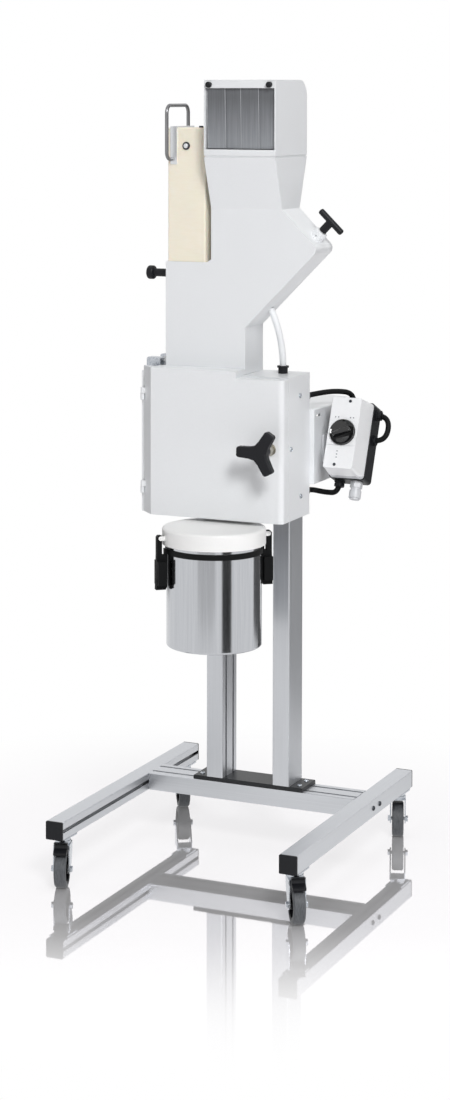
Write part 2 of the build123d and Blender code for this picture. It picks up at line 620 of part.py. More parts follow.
def build_door():
    """The swinging door, its lift-off hinges and the star grip."""
    edge = DOOR_FRONT - DOOR_BACK
    plan = Polygon(
        (DOOR_LEFT, DOOR_BACK), (DOOR_LEFT - edge, DOOR_FRONT), (HOUSING_X[1], DOOR_FRONT),
        (HOUSING_X[1], DOOR_BACK), align=None,
    )
    plan = round_corner(plan, (HOUSING_X[1], DOOR_FRONT), DOOR_CORNER)
    door = raise_up(plan, (HOUSING_Z[0], DOOR_TOP))
    crest = Polygon(
        (DOOR_LEFT, DOOR_BACK), (DOOR_LEFT - edge, DOOR_FRONT), (CREST_RIGHT, DOOR_FRONT),
        (CREST_RIGHT, DOOR_BACK), align=None,
    )
    door += raise_up(crest, (DOOR_TOP, DOOR_CREST))
    lip_y = (DOOR_BACK - 1, CHUTE_Y[0] - 0.6)
    door += slab((DOOR_LEFT - edge, CREST_RIGHT), lip_y, (HOUSING_Z[1] + 0.5, DOOR_CREST))
    for low, high in ((HOUSING_Z[0] + 10, GRIP_Z - 26), (GRIP_Z + 26, DOOR_TOP - 10)):
        pocket = slab((CHAMBER_X[1] + 10, HOUSING_X[1] - 9), (DOOR_FRONT + 8, DOOR_BACK + 1), (low, high))
        door -= fillet(pocket.edges().filter_by(Axis.Y), 8)
    door -= rod((GRIP_X, DOOR_FRONT - 1, GRIP_Z), (0, 1, 0), SPINDLE_RADIUS + RUNNING, DOOR_THICK + 2)
    pins = []
    axis_x, axis_y = HINGE_AXIS
    clear = BARREL_RADIUS + 1.2
    for height in HINGE_HEIGHTS:
        top = height + 2 * BARREL_LENGTH
        door -= rod((axis_x, axis_y, height - 1), (0, 0, 1), clear, 2 * BARREL_LENGTH + 2)
        door -= slab((axis_x - clear, axis_x + 2), (axis_y, DOOR_BACK + 1), (height - 1, top + 1))
        knuckle = rod((axis_x, axis_y, height + BARREL_LENGTH + SEATED), (0, 0, 1), BARREL_RADIUS,
                      BARREL_LENGTH - SEATED)
        leaf_z = (height + BARREL_LENGTH + SEATED, top)
        knuckle += slab((axis_x, axis_x + 9), (axis_y - 3, axis_y + 2), leaf_z)
        door += knuckle
        door -= rod((axis_x, axis_y, height), (0, 0, 1), HINGE_PIN_RADIUS + RUNNING, 60)
        pin = rod((axis_x, axis_y, height), (0, 0, 1), BARREL_RADIUS, BARREL_LENGTH)
        pin += slab((axis_x - 5, axis_x + 1), (axis_y, HOUSING_Y[0]), (height, height + BARREL_LENGTH))
        pin += rod((axis_x, axis_y, height), (0, 0, 1), HINGE_PIN_RADIUS, 2 * BARREL_LENGTH - 2)
        pins.append(pin)
    nodes["door"] = door
    nodes["door_hinge_pins"] = group(pins)

    collar_y = DOOR_FRONT - SEATED
    collar = rod((GRIP_X, collar_y, GRIP_Z), (0, -1, 0), 13.5, 3)
    collar += rod((GRIP_X, collar_y, GRIP_Z), (0, -1, 0), SPINDLE_RADIUS + 3, COLLAR_LENGTH)
    collar -= rod((GRIP_X, collar_y + 1, GRIP_Z), (0, -1, 0), SPINDLE_RADIUS + RUNNING, COLLAR_LENGTH + 2)
    nodes["grip_collar"] = collar
    hub_back = collar_y - COLLAR_LENGTH - SEATED
    spindle = rod((GRIP_X, HOUSING_Y[0] + 26, GRIP_Z), (0, -1, 0), SPINDLE_RADIUS,
                  HOUSING_Y[0] + 26 - GRIP_Y)
    nodes["grip_spindle"] = chamfer(spindle.edges().group_by(Axis.Y)[-1], 1.5)
    star = Circle(17)
    for angle in GRIP_ANGLES:
        arm = Polygon(
            (0, -18), (22, -13), (GRIP_REACH, -11.5), (GRIP_REACH, 11.5), (22, 13), (0, 18), align=None
        )
        for end in (-11.5, 11.5):
            arm = round_corner(arm, (GRIP_REACH, end), 6)
        star += Rot(Z=angle) * arm
    star_y = (GRIP_Y - GRIP_THICK / 2, GRIP_Y + GRIP_THICK / 2)
    grip = deepen(star, star_y)
    grip = fillet(grip.edges().group_by(Axis.Y)[0] + grip.edges().group_by(Axis.Y)[-1], 4)
    grip += rod((0, hub_back, 0), (0, -1, 0), 13, hub_back - star_y[1] + 2)
    grip -= rod((0, hub_back + 1, 0), (0, -1, 0), SPINDLE_RADIUS, hub_back + 1 - GRIP_Y)
    nodes["star_grip"] = Pos(GRIP_X, 0, GRIP_Z) * grip


def chute_outline(inset):
    """The bent duct seen from the front, inset by a sheet's thickness."""
    points = [
        (CHUTE_X[0], CHUTE_FOOT), (CHUTE_X[1], CHUTE_FOOT), (CHUTE_X[1], NECK_Z), KNEE,
        (DUCT_X[1], FUNNEL_FOOT), (DUCT_X[0], FUNNEL_FOOT), (DUCT_X[0], SHOULDER_Z + 7),
        (DUCT_X[0] - 10, SHOULDER_Z), (CHUTE_X[0], SHOULDER_Z),
    ]
    outline = front_outline(points)
    if inset:
        outline = offset(outline, -inset, kind=Kind.INTERSECTION)
    return round_corner(outline, KNEE, KNEE_RADIUS - inset)


def level(x, y, z):
    """A rectangle in plan at one height."""
    return Pos((x[0] + x[1]) / 2, (y[0] + y[1]) / 2, z) * Rectangle(x[1] - x[0], y[1] - y[0])


def inset_span(span, wall):
    """A span shortened by a wall at both ends."""
    return (span[0] + wall, span[1] - wall)


def build_chute():
    """The folding feed chute: bent duct, plunger shaft and widening top."""
    sheet = CHUTE_SHEET
    duct_x, duct_y = inset_span(DUCT_X, sheet), inset_span(HOOD_Y, sheet)
    body = deepen(chute_outline(0), CHUTE_Y)
    body += loft([level(DUCT_X, CHUTE_Y, FUNNEL_FOOT), level(DUCT_X, HOOD_Y, FUNNEL_TOP)])
    collar = inset_span(DUCT_X, HOOD_SEAM), inset_span(HOOD_Y, HOOD_SEAM)
    body += slab(*collar, (FUNNEL_TOP, HOOD_Z[0]))
    solid_body = body
    body -= deepen(chute_outline(sheet), CHUTE_INNER_Y)
    body -= loft([level(duct_x, CHUTE_INNER_Y, FUNNEL_FOOT), level(duct_x, duct_y, FUNNEL_TOP)])
    body -= slab(duct_x, duct_y, (FUNNEL_TOP, HOOD_Z[0] + 1))
    body -= slab(duct_x, CHUTE_INNER_Y, (FUNNEL_FOOT - sheet - 1, FUNNEL_FOOT))
    shaft_right = PLUNGER_X[1] + PLUNGER_GAP
    body += slab((shaft_right, shaft_right + sheet), CHUTE_Y, (PLUNGER_FOOT + 15, SHOULDER_Z))
    body -= slab((INLET_X[0], shaft_right), CHUTE_INNER_Y, (SHOULDER_Z - 10, SHOULDER_Z + 1))
    body -= slab(INLET_X, CHUTE_INNER_Y, (CHUTE_FOOT - 1, CHUTE_FOOT + sheet + 1))
    body -= rod((CHUTE_X[0] - 1, LOCK_Y, LOCK_Z), (1, 0, 0), LOCK_PIN_RADIUS + RUNNING, 10)
    rod_along = floor_direction()
    foot = Vector(BOSS_FOOT[0], LOCK_Y, BOSS_FOOT[1])
    rod_bore = rod(foot - rod_along * 20, rod_along, PUSH_ROD_RADIUS + RUNNING, 60)
    body -= rod_bore
    axis_x, axis_z = HOPPER_AXIS
    ear_y = (-5.0, 45.0)
    ear = rod((axis_x, ear_y[0], axis_z), (0, 1, 0), 9, ear_y[1] - ear_y[0])
    ear += slab((axis_x, CHUTE_X[0] + 1), ear_y, (axis_z - 4, axis_z + 4))
    ear -= rod((axis_x, ear_y[0] - 1, axis_z), (0, 1, 0), HOPPER_PIN_RADIUS + RUNNING, 60)
    nodes["feed_chute"] = body + ear

    block_z = (HOUSING_Z[1], axis_z + 13)
    hinge = None
    for span in ((-26.0, ear_y[0] - SEATED), (ear_y[1] + SEATED, 62.0)):
        knuckle = slab((axis_x - 17, axis_x + 16), span, block_z)
        knuckle = chamfer(knuckle.edges().filter_by(Axis.Y).group_by(Axis.Z)[-1], 3)
        hinge = knuckle if hinge is None else hinge + knuckle
    hinge += rod((axis_x, -20, axis_z), (0, 1, 0), HOPPER_PIN_RADIUS, 76)
    nodes["hopper_hinge"] = hinge

    boss = rod(foot - rod_along * 6, rod_along, 15, 26)
    boss = fillet(boss.edges().sort_by(Axis(origin=tuple(foot), direction=tuple(rod_along)))[-1], 3)
    boss -= rod(foot + rod_along * 8 + Vector(0, -9, 0), (0, -1, 0), 1.8, 10)
    boss = boss - solid_body - rod_bore
    bush = rod((CHUTE_X[0], LOCK_Y, LOCK_Z), (-1, 0, 0), 12, 16)
    bush -= rod((CHUTE_X[0] + 1, LOCK_Y, LOCK_Z), (-1, 0, 0), LOCK_PIN_RADIUS + RUNNING, 30)
    nodes["chute_bosses"] = group([boss, bush])

    nodes["interlock_rod"] = interlock_sweep(INTERLOCK_ROD_RADIUS) - solid_body
    socket_x = axis_x + INTERLOCK_RADIUS
    socket = rod((socket_x, INTERLOCK_Y, HOUSING_Z[1]), (0, 0, 1), 10.5, 14)
    socket += rod((socket_x, INTERLOCK_Y, HOUSING_Z[1] + 13), (0, 0, 1), 13, 4)
    socket -= rod((socket_x, INTERLOCK_Y, HOUSING_Z[1] - 1), (0, 0, 1), INTERLOCK_ROD_RADIUS + 1, 30)
    nodes["interlock_socket"] = socket


def build_hood():
    """The hood over the chute, its strip curtain and two knobs."""
    sheet = CHUTE_SHEET

    def hood_outline(inset):
        low_y, high_y = inset_span(HOOD_Y, inset)
        top = HOOD_Z[1] - inset
        side = Polygon((low_y, HOOD_Z[0] - inset), (low_y, top), (high_y, top),
                       (high_y, HOOD_Z[0] - inset), align=None)
        return round_corner(side, (high_y, top), HOOD_CROWN - inset)

    inner_x = inset_span(DUCT_X, sheet)
    hood = across(hood_outline(0), DUCT_X) - across(hood_outline(sheet), inner_x)
    hood -= slab(inner_x, (HOOD_Y[0] - 1, HOOD_Y[0] + sheet + 1), HOOD_MOUTH_Z)
    band_z = (HOOD_MOUTH_Z[1] + HOOD_Z[1]) / 2 - 1.5
    knobs = []
    bar_y = HOOD_Y[0] + sheet + STRIP_THICK + 7
    for x in HOOD_KNOB_X:
        at = (x, HOOD_Y[0], band_z)
        hood -= rod((x, HOOD_Y[0] - 1, band_z), (0, 1, 0), 3, sheet + 2)
        knob = rod(at, (0, -1, 0), 6.5, 9)
        knob = fillet(knob.edges().group_by(Axis.Y)[0], 2.5)
        knobs.append(knob + rod(at, (0, 1, 0), 3, sheet))
    nodes["feed_hood"] = hood
    nodes["hood_knobs"] = group(knobs)

    strips = [slab(inset_span(inner_x, 0.5), (HOOD_Y[0] + sheet, bar_y), (HOOD_MOUTH_Z[1] + 1, band_z + 6))]
    pitch = (inner_x[1] - inner_x[0] - 1) / STRIP_COUNT
    hang_z = (HOOD_MOUTH_Z[0] + 2, HOOD_MOUTH_Z[1] + 1)
    for index in range(STRIP_COUNT):
        low = inner_x[0] + 0.5 + index * pitch
        overlap = 5 if index % 2 else 0
        y = HOOD_Y[0] + sheet + 2 + (index % 2) * (STRIP_THICK + 1)
        high = min(low + pitch + overlap, inner_x[1] - 0.5)
        strips.append(slab((low - overlap, high), (y, y + STRIP_THICK), hang_z))
    nodes["curtain_strips"] = group([strips[0] + strips[1] + strips[2] + strips[3] + strips[4]])


def floor_direction():
    """The way up the chute's sloping floor, which the pusher follows."""
    run, rise = KNEE[0] - CHUTE_X[1], KNEE[1] - NECK_Z
    return Vector(run, 0, rise).normalized()


def build_plunger():
    """The plastic plunger, its steel bracket and its bail handle."""
    block = slab(PLUNGER_X, PLUNGER_Y, (PLUNGER_FOOT, PLUNGER_TOP))
    block = fillet(block.edges().filter_by(Axis.Z), 3)
    block = chamfer(block.edges().group_by(Axis.Z)[-1], 1.5)
    groove_z = (LOCK_Z - LOCK_PIN_RADIUS - 1, PLUNGER_TOP - 95)
    groove_y = (LOCK_Y - LOCK_PIN_RADIUS - 1, LOCK_Y + LOCK_PIN_RADIUS + 1)
    block -= slab((PLUNGER_X[0] - 1, PLUNGER_X[0] + 7), groove_y, groove_z)
    screw_at = (PLUNGER_X[0] + 45, PLUNGER_Y[0], PLUNGER_TOP - 40)
    block -= rod((screw_at[0], screw_at[1] - 1, screw_at[2]), (0, 1, 0), 5, 21)
    bolt_at = (PLUNGER_X[1] - 20, PLUNGER_Y[0] + 22, PLUNGER_TOP)
    block -= rod((bolt_at[0], bolt_at[1], bolt_at[2] + 1), (0, 0, -1), 3, 16)
    nodes["plunger"] = block

    strip_x = (BRACKET_X - BRACKET_WIDTH / 2, BRACKET_X + BRACKET_WIDTH / 2)
    front = PLUNGER_Y[0] - BRACKET_SHEET
    top = PLUNGER_TOP + BRACKET_SHEET
    foot_z = PLUNGER_TOP - 81
    bracket = slab(strip_x, (front, PLUNGER_Y[1] - 1), (PLUNGER_TOP, top))
    bracket += slab(strip_x, (front, PLUNGER_Y[0]), (foot_z, top))
    screw = rod(screw_at, (0, -1, 0), 5.4, 5)
    screw = fillet(screw.edges().group_by(Axis.Y)[0], 1.5) + rod(screw_at, (0, 1, 0), 5, 20)
    screw += rod(screw_at, (0, -1, 0), 8.8, 2)
    bolt = rod(bolt_at, (0, 0, 1), 5, 4) + rod(bolt_at, (0, 0, -1), 3, 15)
    nodes["plunger_bracket"] = group([bracket, screw, bolt])

    back_y = PLUNGER_Y[1] - 6
    reach_y, high_z, low_z = -53.0, PLUNGER_TOP + 49, PLUNGER_TOP - 70
    path = FilletPolyline(
        (BAIL_X, back_y, top), (BAIL_X, back_y, high_z), (BAIL_X, reach_y, high_z),
        (BAIL_X, reach_y, low_z), (BAIL_X, front, low_z), radius=17,
    )
    section = Plane(origin=path @ 0, z_dir=path % 0) * Circle(BAIL_RADIUS)
    nodes["plunger_handle"] = sweep(section, path)

    pin_tip = PLUNGER_X[0] + 5
    neck_x = CHUTE_X[0] - 16 - SEATED
    knob = rod((pin_tip, LOCK_Y, LOCK_Z), (-1, 0, 0), LOCK_PIN_RADIUS, pin_tip - neck_x)
    knob += rod((neck_x, LOCK_Y, LOCK_Z), (-1, 0, 0), 9, neck_x - LOCK_KNOB_X - 16)
    head = rod((LOCK_KNOB_X + 17, LOCK_Y, LOCK_Z), (-1, 0, 0), 15.5, 17)
    knob += fillet(head.edges().filter_by(GeomType.CIRCLE), 5)
    nodes["index_knob"] = knob


def build_pusher():
    """The sloping push rod with its plate inside and its T handle outside."""
    along = floor_direction()
    foot = Vector(BOSS_FOOT[0], LOCK_Y, BOSS_FOOT[1])
    inner = foot - along * PUSH_DEPTH
    normal = Vector(-along.Z, 0, along.X)
    neck = Vector(CHUTE_X[1], LOCK_Y, NECK_Z)
    floor_gap = (foot - neck).dot(normal)
    low = -(floor_gap - CHUTE_SHEET - 2)
    face = Plane(origin=inner, x_dir=(0, 1, 0), z_dir=along)
    half_y = (CHUTE_INNER_Y[1] - CHUTE_INNER_Y[0]) / 2 - 1
    mid_y = sum(CHUTE_INNER_Y) / 2 - LOCK_Y
    high = low + 102
    side = 1 if face.y_dir.dot(normal) > 0 else -1
    plate = Pos(mid_y, side * (low + high) / 2) * RectangleRounded(2 * half_y, high - low, 4)
    plate = face * extrude(plate, 6)
    tee_at = foot + along * TEE_REACH
    push_rod = rod(inner, along, PUSH_ROD_RADIUS, PUSH_DEPTH + TEE_REACH)
    plate -= rod(inner - along, along, PUSH_ROD_RADIUS, 20)
    nodes["pusher_rod"] = group([plate, push_rod])
    handle = rod(tee_at - normal * TEE_LENGTH / 2, normal, TEE_RADIUS, TEE_LENGTH)
    handle = fillet(handle.edges().filter_by(GeomType.CIRCLE), 4)
    neck_start = foot + along * 22
    handle += rod(neck_start, along, 9, TEE_REACH - 22)
    handle -= rod(inner, along, PUSH_ROD_RADIUS, PUSH_DEPTH + TEE_REACH)
    nodes["tee_handle"] = handle


def ring_frame(angle):
    """A frame at one angle of the vessel: X outwards, Y along the rim, Z up."""
    return Pos(0, LID_Y, 0) * Rot(Z=angle)


def build_outlet():
    """Outlet lid, collecting vessel, clamp band and the two lever latches."""
    low, high = LID_Z
    section = Polygon(
        (0, high - 5), (LID_RADIUS - 6, high - 5), (LID_RADIUS - 6, low), (LID_RADIUS, low),
        (LID_RADIUS, high), (0, high), align=None,
    )
    section = round_corner(section, (LID_RADIUS, high), 6)
    lid = Pos(0, LID_Y) * revolve(Plane.XZ * section, Axis.Z)
    neck_x, neck_y = (OUTLET_X[0] - 4, OUTLET_X[1] + 4), (OUTLET_Y[0] - 3, OUTLET_Y[1] + 3)
    lid += slab(neck_x, neck_y, (high - 5, HOUSING_Z[0]))
    lid -= slab(OUTLET_X, OUTLET_Y, (high - 10, HOUSING_Z[0] + 1))
    radius = VESSEL_RADIUS
    pivot_r, pivot_z = LATCH_PIVOT
    for angle in LATCH_ANGLES.values():
        ear = 7 + SEATED + LATCH_EAR
        lug = slab((LID_RADIUS - 5, pivot_r), (-ear, ear), (pivot_z - 5, pivot_z + 5))
        lug += rod((pivot_r, -ear, pivot_z), (0, 1, 0), 5, 2 * ear)
        lug -= slab((LID_RADIUS + 0.8, pivot_r + 20), (LATCH_EAR - ear, ear - LATCH_EAR), LID_Z)
        lug += rod((pivot_r, -ear, pivot_z), (0, 1, 0), 2.5, 2 * ear)
        lid += ring_frame(angle) * lug
    nodes["outlet_lid"] = lid

    wall = VESSEL_WALL
    pot = Polygon(
        (0, VESSEL_BOTTOM), (radius, VESSEL_BOTTOM), (radius, low - wall), (radius + 4, low - wall),
        (radius + 4, low), (radius - wall, low), (radius - wall, VESSEL_BOTTOM + wall),
        (0, VESSEL_BOTTOM + wall), align=None,
    )
    pot = round_corner(pot, (radius, VESSEL_BOTTOM), 5)
    pot = round_corner(pot, (radius - wall, VESSEL_BOTTOM + wall), 5 - wall)
    nodes["collector_vessel"] = Pos(0, LID_Y) * revolve(Plane.XZ * pot, Axis.Z)

    band = rod((0, LID_Y, BAND_Z[0]), (0, 0, 1), radius + 2.5, BAND_Z[1] - BAND_Z[0])
    band -= rod((0, LID_Y, BAND_Z[0] - 1), (0, 0, 1), radius, BAND_Z[1] - BAND_Z[0] + 2)
    for angle in LATCH_ANGLES.values():
        band += ring_frame(angle) * slab((radius + 1, radius + 8), (-8, 8), BAND_Z)
    nodes["clamp_band"] = band

    for name, angle in LATCH_ANGLES.items():
        inner, outer, near = pivot_r - 3, pivot_r + 8, radius + 2.5
        arm = Polygon(
            (inner, pivot_z), (inner, BAND_Z[0] - 0.5), (near, BAND_Z[0] - 0.5),
            (near, LATCH_TIP_Z + 8), (near + 4, LATCH_TIP_Z), (outer + 2, LATCH_TIP_Z),
            (outer, BAND_Z[0]), (outer, pivot_z + 2), (outer - 3, pivot_z + 6),
            (pivot_r, pivot_z + 6), align=None,
        )
        arm = deepen(arm, (-7, 7))
        arm += rod((pivot_r, -7, pivot_z), (0, 1, 0), 6, 14)
        arm += slab((near + 3, outer), (-17, 17), (LATCH_TIP_Z + 10, BAND_Z[0] - 14))
        arm -= rod((pivot_r, -20, pivot_z), (0, 1, 0), 2.5 + RUNNING, 40)
        nodes[name] = ring_frame(angle) * arm


def control_frame():
    """A frame on the control box's front face: X right, Y up the face, Z out of it."""
    lean = radians(CONTROL_LEAN)
    return Plane(origin=CONTROL_CENTRE, x_dir=(1, 0, 0), z_dir=(0, -cos(lean), sin(lean)))


def gland(start, along, radius, length, bore=0.0):
    """A cable gland: hexagon, collar and rounded nose."""
    body = rod(start, along, radius * 0.8, length)
    body += Plane(origin=start, z_dir=along) * extrude(RegularPolygon(radius, 6), length * 0.35)
    body += rod(Vector(*start) + Vector(*along) * length * 0.5, along, radius * 0.95, length * 0.42)
    if bore:
        body -= rod(Vector(*start) + Vector(*along), along, bore, length)
    return body


def lead(points, radius):
    """A short lead: straight runs joined by large arcs."""
    corners = [Vector(*point) for point in points]
    radii = []
    for before, here, after in zip(corners, corners[1:], corners[2:]):
        turn = radians((here - before).get_angle(after - here))
        shorter = min((here - before).length, (after - here).length)
        radii.append(0.45 * shorter / tan(turn / 2))
    path = FilletPolyline(*corners, radius=radii)
    section = Plane(origin=path @ 0, z_dir=path % 0) * Circle(radius)
    return sweep(section, path)


def build_control():
    """The tilted control box, its bracket, glands and leads."""
    frame = control_frame()
    wide, tall = CONTROL_SIZE
    deep = CONTROL_COVER_DEPTH
    face = frame * RectangleRounded(wide - 12, tall - 12, 5)
    back = frame.offset(-deep) * RectangleRounded(wide, tall, 7)
    cover = loft([back, face])
    cover -= frame * (Pos(0, CONTROL_SPLIT, 0) * Box(wide, 1.2, 1.6))
    cover -= frame * (Pos(0, SWITCH_Y, 0) * Cylinder(SWITCH_RADIUS + 1, 8))
    screws = []
    for x, y in ((8, tall / 2 - 14), (-8, 14 - tall / 2)):
        at = frame.from_local_coords((x, y, 0))
        cover -= screw_hole(tuple(at), tuple(frame.z_dir), 3.4, 10)
        screws.append(cap_screw(tuple(at), tuple(frame.z_dir), 3.4, 10))
    base_plane = frame.offset(-deep)
    base = extrude(base_plane * RectangleRounded(wide + 4, tall + 4, 8), -CONTROL_BASE_DEPTH)
    gland_at = frame.from_local_coords((18, -tall / 2 - 2, -deep - 20))
    down = tuple(frame.y_dir * -1)
    nodes["control_cover"] = group([cover, gland(tuple(gland_at), down, 14, 40)])
    nodes["control_base"] = base

    recess = frame.offset(SEATED - 4)
    knob = extrude(recess * Pos(0, SWITCH_Y) * Circle(SWITCH_RADIUS), 9)
    knob += extrude(recess * Pos(0, SWITCH_Y) * Rot(Z=25) * RectangleRounded(50, 14, 5), 22)
    nodes["switch_knob"] = knob

    base_left = CONTROL_CENTRE[0] - wide / 2 - 2
    arm_y, arm_z = (140.0, 172.0), (905.0, 935.0)
    plate = slab((COVER_X[1], COVER_X[1] + 4), (125.0, 185.0), (890.0, 950.0))
    nodes["control_bracket"] = plate + slab((COVER_X[1], base_left), arm_y, arm_z)

    up = tuple(frame.y_dir)
    half_w, half_t, mid = wide / 2 + 2, tall / 2 + 2, -deep - 20
    top_at = frame.from_local_coords((-18, half_t, mid))
    loop_start = frame.from_local_coords((half_w, LOOP_ENDS[0], mid))
    loop_end = frame.from_local_coords((half_w, LOOP_ENDS[1], mid))
    bottom_at = frame.from_local_coords((-22, -half_t, mid))
    entry_high = Vector(130, HOUSING_Y[1], 1040)
    entry_low = Vector(130, HOUSING_Y[1], 829)
    back = (0, 1, 0)
    glands = [
        gland(tuple(top_at), up, 2 * LEAD_RADIUS, 14, LEAD_RADIUS),
        gland(tuple(loop_start), (1, 0, 0), 2 * LEAD_RADIUS, 12, LEAD_RADIUS),
        gland(tuple(loop_end), (1, 0, 0), 2 * LEAD_RADIUS, 8, LEAD_RADIUS),
        gland(tuple(bottom_at), down, 2 * LEAD_RADIUS, 14, LEAD_RADIUS),
        gland(tuple(entry_high), back, 2 * LEAD_RADIUS, 14, LEAD_RADIUS),
        gland(tuple(entry_low), back, 2 * LEAD_RADIUS, 14, LEAD_RADIUS),
    ]
    nodes["lead_glands"] = group(glands)
    high_lead = lead([
        entry_high + Vector(0, 2, 0), entry_high + Vector(0, LEAD_RUN, 0), HIGH_LEAD_BEND,
        top_at + frame.y_dir * LEAD_RISE, top_at + frame.y_dir * 2,
    ], LEAD_RADIUS)
    loop = lead([
        loop_start + frame.x_dir * 2, loop_start + frame.x_dir * LOOP_REACH,
        loop_end + frame.x_dir * LOOP_REACH, loop_end + frame.x_dir * 2,
    ], LEAD_RADIUS)
    low_lead = lead([
        entry_low + Vector(0, 2, 0), entry_low + Vector(0, LEAD_RUN, 0), LOW_LEAD_BEND,
        bottom_at - frame.y_dir * LEAD_RISE, bottom_at - frame.y_dir * 2,
    ], LEAD_RADIUS)
    nodes["control_leads"] = group([high_lead, loop, low_lead])

    stand_screws = [cap_screw(at, (0, 0, 1), SCREW_RADIUS, POST_PLATE_THICK) for at in POST_SCREWS]
    side_screws = [cap_screw(at, outward(at), SCREW_RADIUS, 12) for at in RAIL_SCREWS + SIDE_SCREWS]
    nodes["cap_screws"] = group(stand_screws + side_screws + screws)


def main():
    """Builds every piece and writes one file for each node."""
    build_stand()
    build_casters()
    build_housing()
    build_grinder()
    build_drive()
    build_door()
    build_chute()
    build_hood()
    build_plunger()
    build_pusher()
    build_outlet()
    build_control()
    os.makedirs("parts", exist_ok=True)
    for name, shape in nodes.items():
        export_step(shape, "parts/" + name + ".step")
    print(len(nodes), "nodes")


main()
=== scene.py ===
# %% [markdown]
# Cutting mill on a wheeled stand.
# The metal and plastic bodies come finished from the CAD model, so this lesson dresses them:
# it gives each one the surface that its real material has, adds the soft and small pieces that
# CAD leaves plain, and sets up a studio with the camera of the photograph.

# %% Load the frame
import json
from math import cos, radians, sin

import bpy
from mathutils import Matrix, Vector


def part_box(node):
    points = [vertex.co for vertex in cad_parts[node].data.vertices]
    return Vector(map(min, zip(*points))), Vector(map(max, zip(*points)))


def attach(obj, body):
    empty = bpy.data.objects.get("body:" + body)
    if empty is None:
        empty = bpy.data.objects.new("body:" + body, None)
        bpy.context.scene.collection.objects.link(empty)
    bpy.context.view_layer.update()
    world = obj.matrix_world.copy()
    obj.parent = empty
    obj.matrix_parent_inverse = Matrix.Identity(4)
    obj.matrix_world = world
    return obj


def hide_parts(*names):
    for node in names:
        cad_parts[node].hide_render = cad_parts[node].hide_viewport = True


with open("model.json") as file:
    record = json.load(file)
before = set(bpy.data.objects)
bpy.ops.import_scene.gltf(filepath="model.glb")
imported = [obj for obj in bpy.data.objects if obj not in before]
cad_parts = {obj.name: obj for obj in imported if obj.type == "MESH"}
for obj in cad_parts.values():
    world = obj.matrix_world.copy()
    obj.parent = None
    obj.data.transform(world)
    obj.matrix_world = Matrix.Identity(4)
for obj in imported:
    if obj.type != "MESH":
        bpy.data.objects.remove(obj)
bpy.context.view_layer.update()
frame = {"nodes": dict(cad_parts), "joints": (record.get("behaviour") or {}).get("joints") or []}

MM = 0.001
nodes = frame["nodes"]

# %% [markdown]
# Colours are written as the sRGB hex codes that a paint chart or a picture editor shows. Blender
# mixes light in linear numbers, so one function turns a code into them. A second one adds a
# shader node with its settings and links in one go, which keeps each material short.

# %% Colour and node helpers
def linear(code):
    """The linear colour of an sRGB hex code."""
    parts = [int(code[i:i + 2], 16) / 255 for i in (1, 3, 5)]
    return [p / 12.92 if p <= 0.04045 else ((p + 0.055) / 1.055) ** 2.4 for p in parts] + [1.0]


def add_node(tree, kind, settings=None, values=None, links=None):
    """Adds one shader node: its own settings, its sockets' values, and what feeds them."""
    node = tree.nodes.new("ShaderNode" + kind)
    for name, value in (settings or {}).items():
        setattr(node, name, value)
    for name, value in (values or {}).items():
        node.inputs[name].default_value = value
    for name, source in (links or {}).items():
        tree.links.new(source, node.inputs[name])
    return node


print("white chart value:", [round(v, 3) for v in linear("#F0F2F5")])

# %% [markdown]
# Nearly every finish here is one surface with a fine grain: paint with orange peel, moulded
# plastic with its mould's texture, metal with the lines of its brush or die. One noise of the
# grain's real size can drive tone, gloss and relief together, as they go together on the real
# thing. The grain's length is given along each axis, so that brushed metal gets long thin grains.
# The noise stays mostly between 0.3 and 0.7, and that span runs from the first tone to the second.

# %% The grained finish
NOISE_SPAN = (0.3, 0.7)


def grained(name, tones, grain, gloss, relief=0.0, edge=0.0, detail=3.0, shader=None):
    """A material whose tone, gloss and relief follow a noise with grains of a size in mm."""
    material = bpy.data.materials.new(name)
    material.use_nodes = True
    tree = material.node_tree
    skin = tree.nodes["Principled BSDF"]
    for socket, value in (shader or {}).items():
        skin.inputs[socket].default_value = value
    place = add_node(tree, "TexCoord").outputs["Object"]
    sized = add_node(tree, "Mapping", values={"Scale": [1 / (g * MM) for g in grain]},
                     links={"Vector": place})
    noise = add_node(tree, "TexNoise", values={"Scale": 1.0, "Detail": detail},
                     links={"Vector": sized.outputs["Vector"]}).outputs["Fac"]
    tone = add_node(tree, "ValToRGB", links={"Fac": noise})
    for stop, place_at, code in zip(tone.color_ramp.elements, NOISE_SPAN, tones):
        stop.position = place_at
        stop.color = linear(code)
    tree.links.new(tone.outputs["Color"], skin.inputs["Base Color"])
    shine = add_node(tree, "MapRange", links={"Value": noise},
                     values={"From Min": NOISE_SPAN[0], "From Max": NOISE_SPAN[1],
                             "To Min": gloss[0], "To Max": gloss[1]})
    tree.links.new(shine.outputs["Result"], skin.inputs["Roughness"])
    normal = {}
    if edge:
        soft = add_node(tree, "Bevel", settings={"samples": 4}, values={"Radius": edge * MM})
        normal["Normal"] = soft.outputs["Normal"]
    if relief:
        normal["Height"] = noise
        rough = add_node(tree, "Bump", values={"Strength": 1.0, "Distance": relief * MM},
                         links=normal)
        normal = {"Normal": rough.outputs["Normal"]}
    if normal:
        tree.links.new(normal["Normal"], skin.inputs["Normal"])
    return material


# %% [markdown]
# White sheet metal is polyester powder coat. The powder melts into a skin with a soft sheen and
# a faint orange peel of about 2 mm, and it rounds the sheet's folded edges by about a millimetre.
# The peel is drawn at 3 mm, because 2 mm would not show at this distance. The vessel's lid is
# moulded polypropylene, a little whiter and duller, with rounder edges.

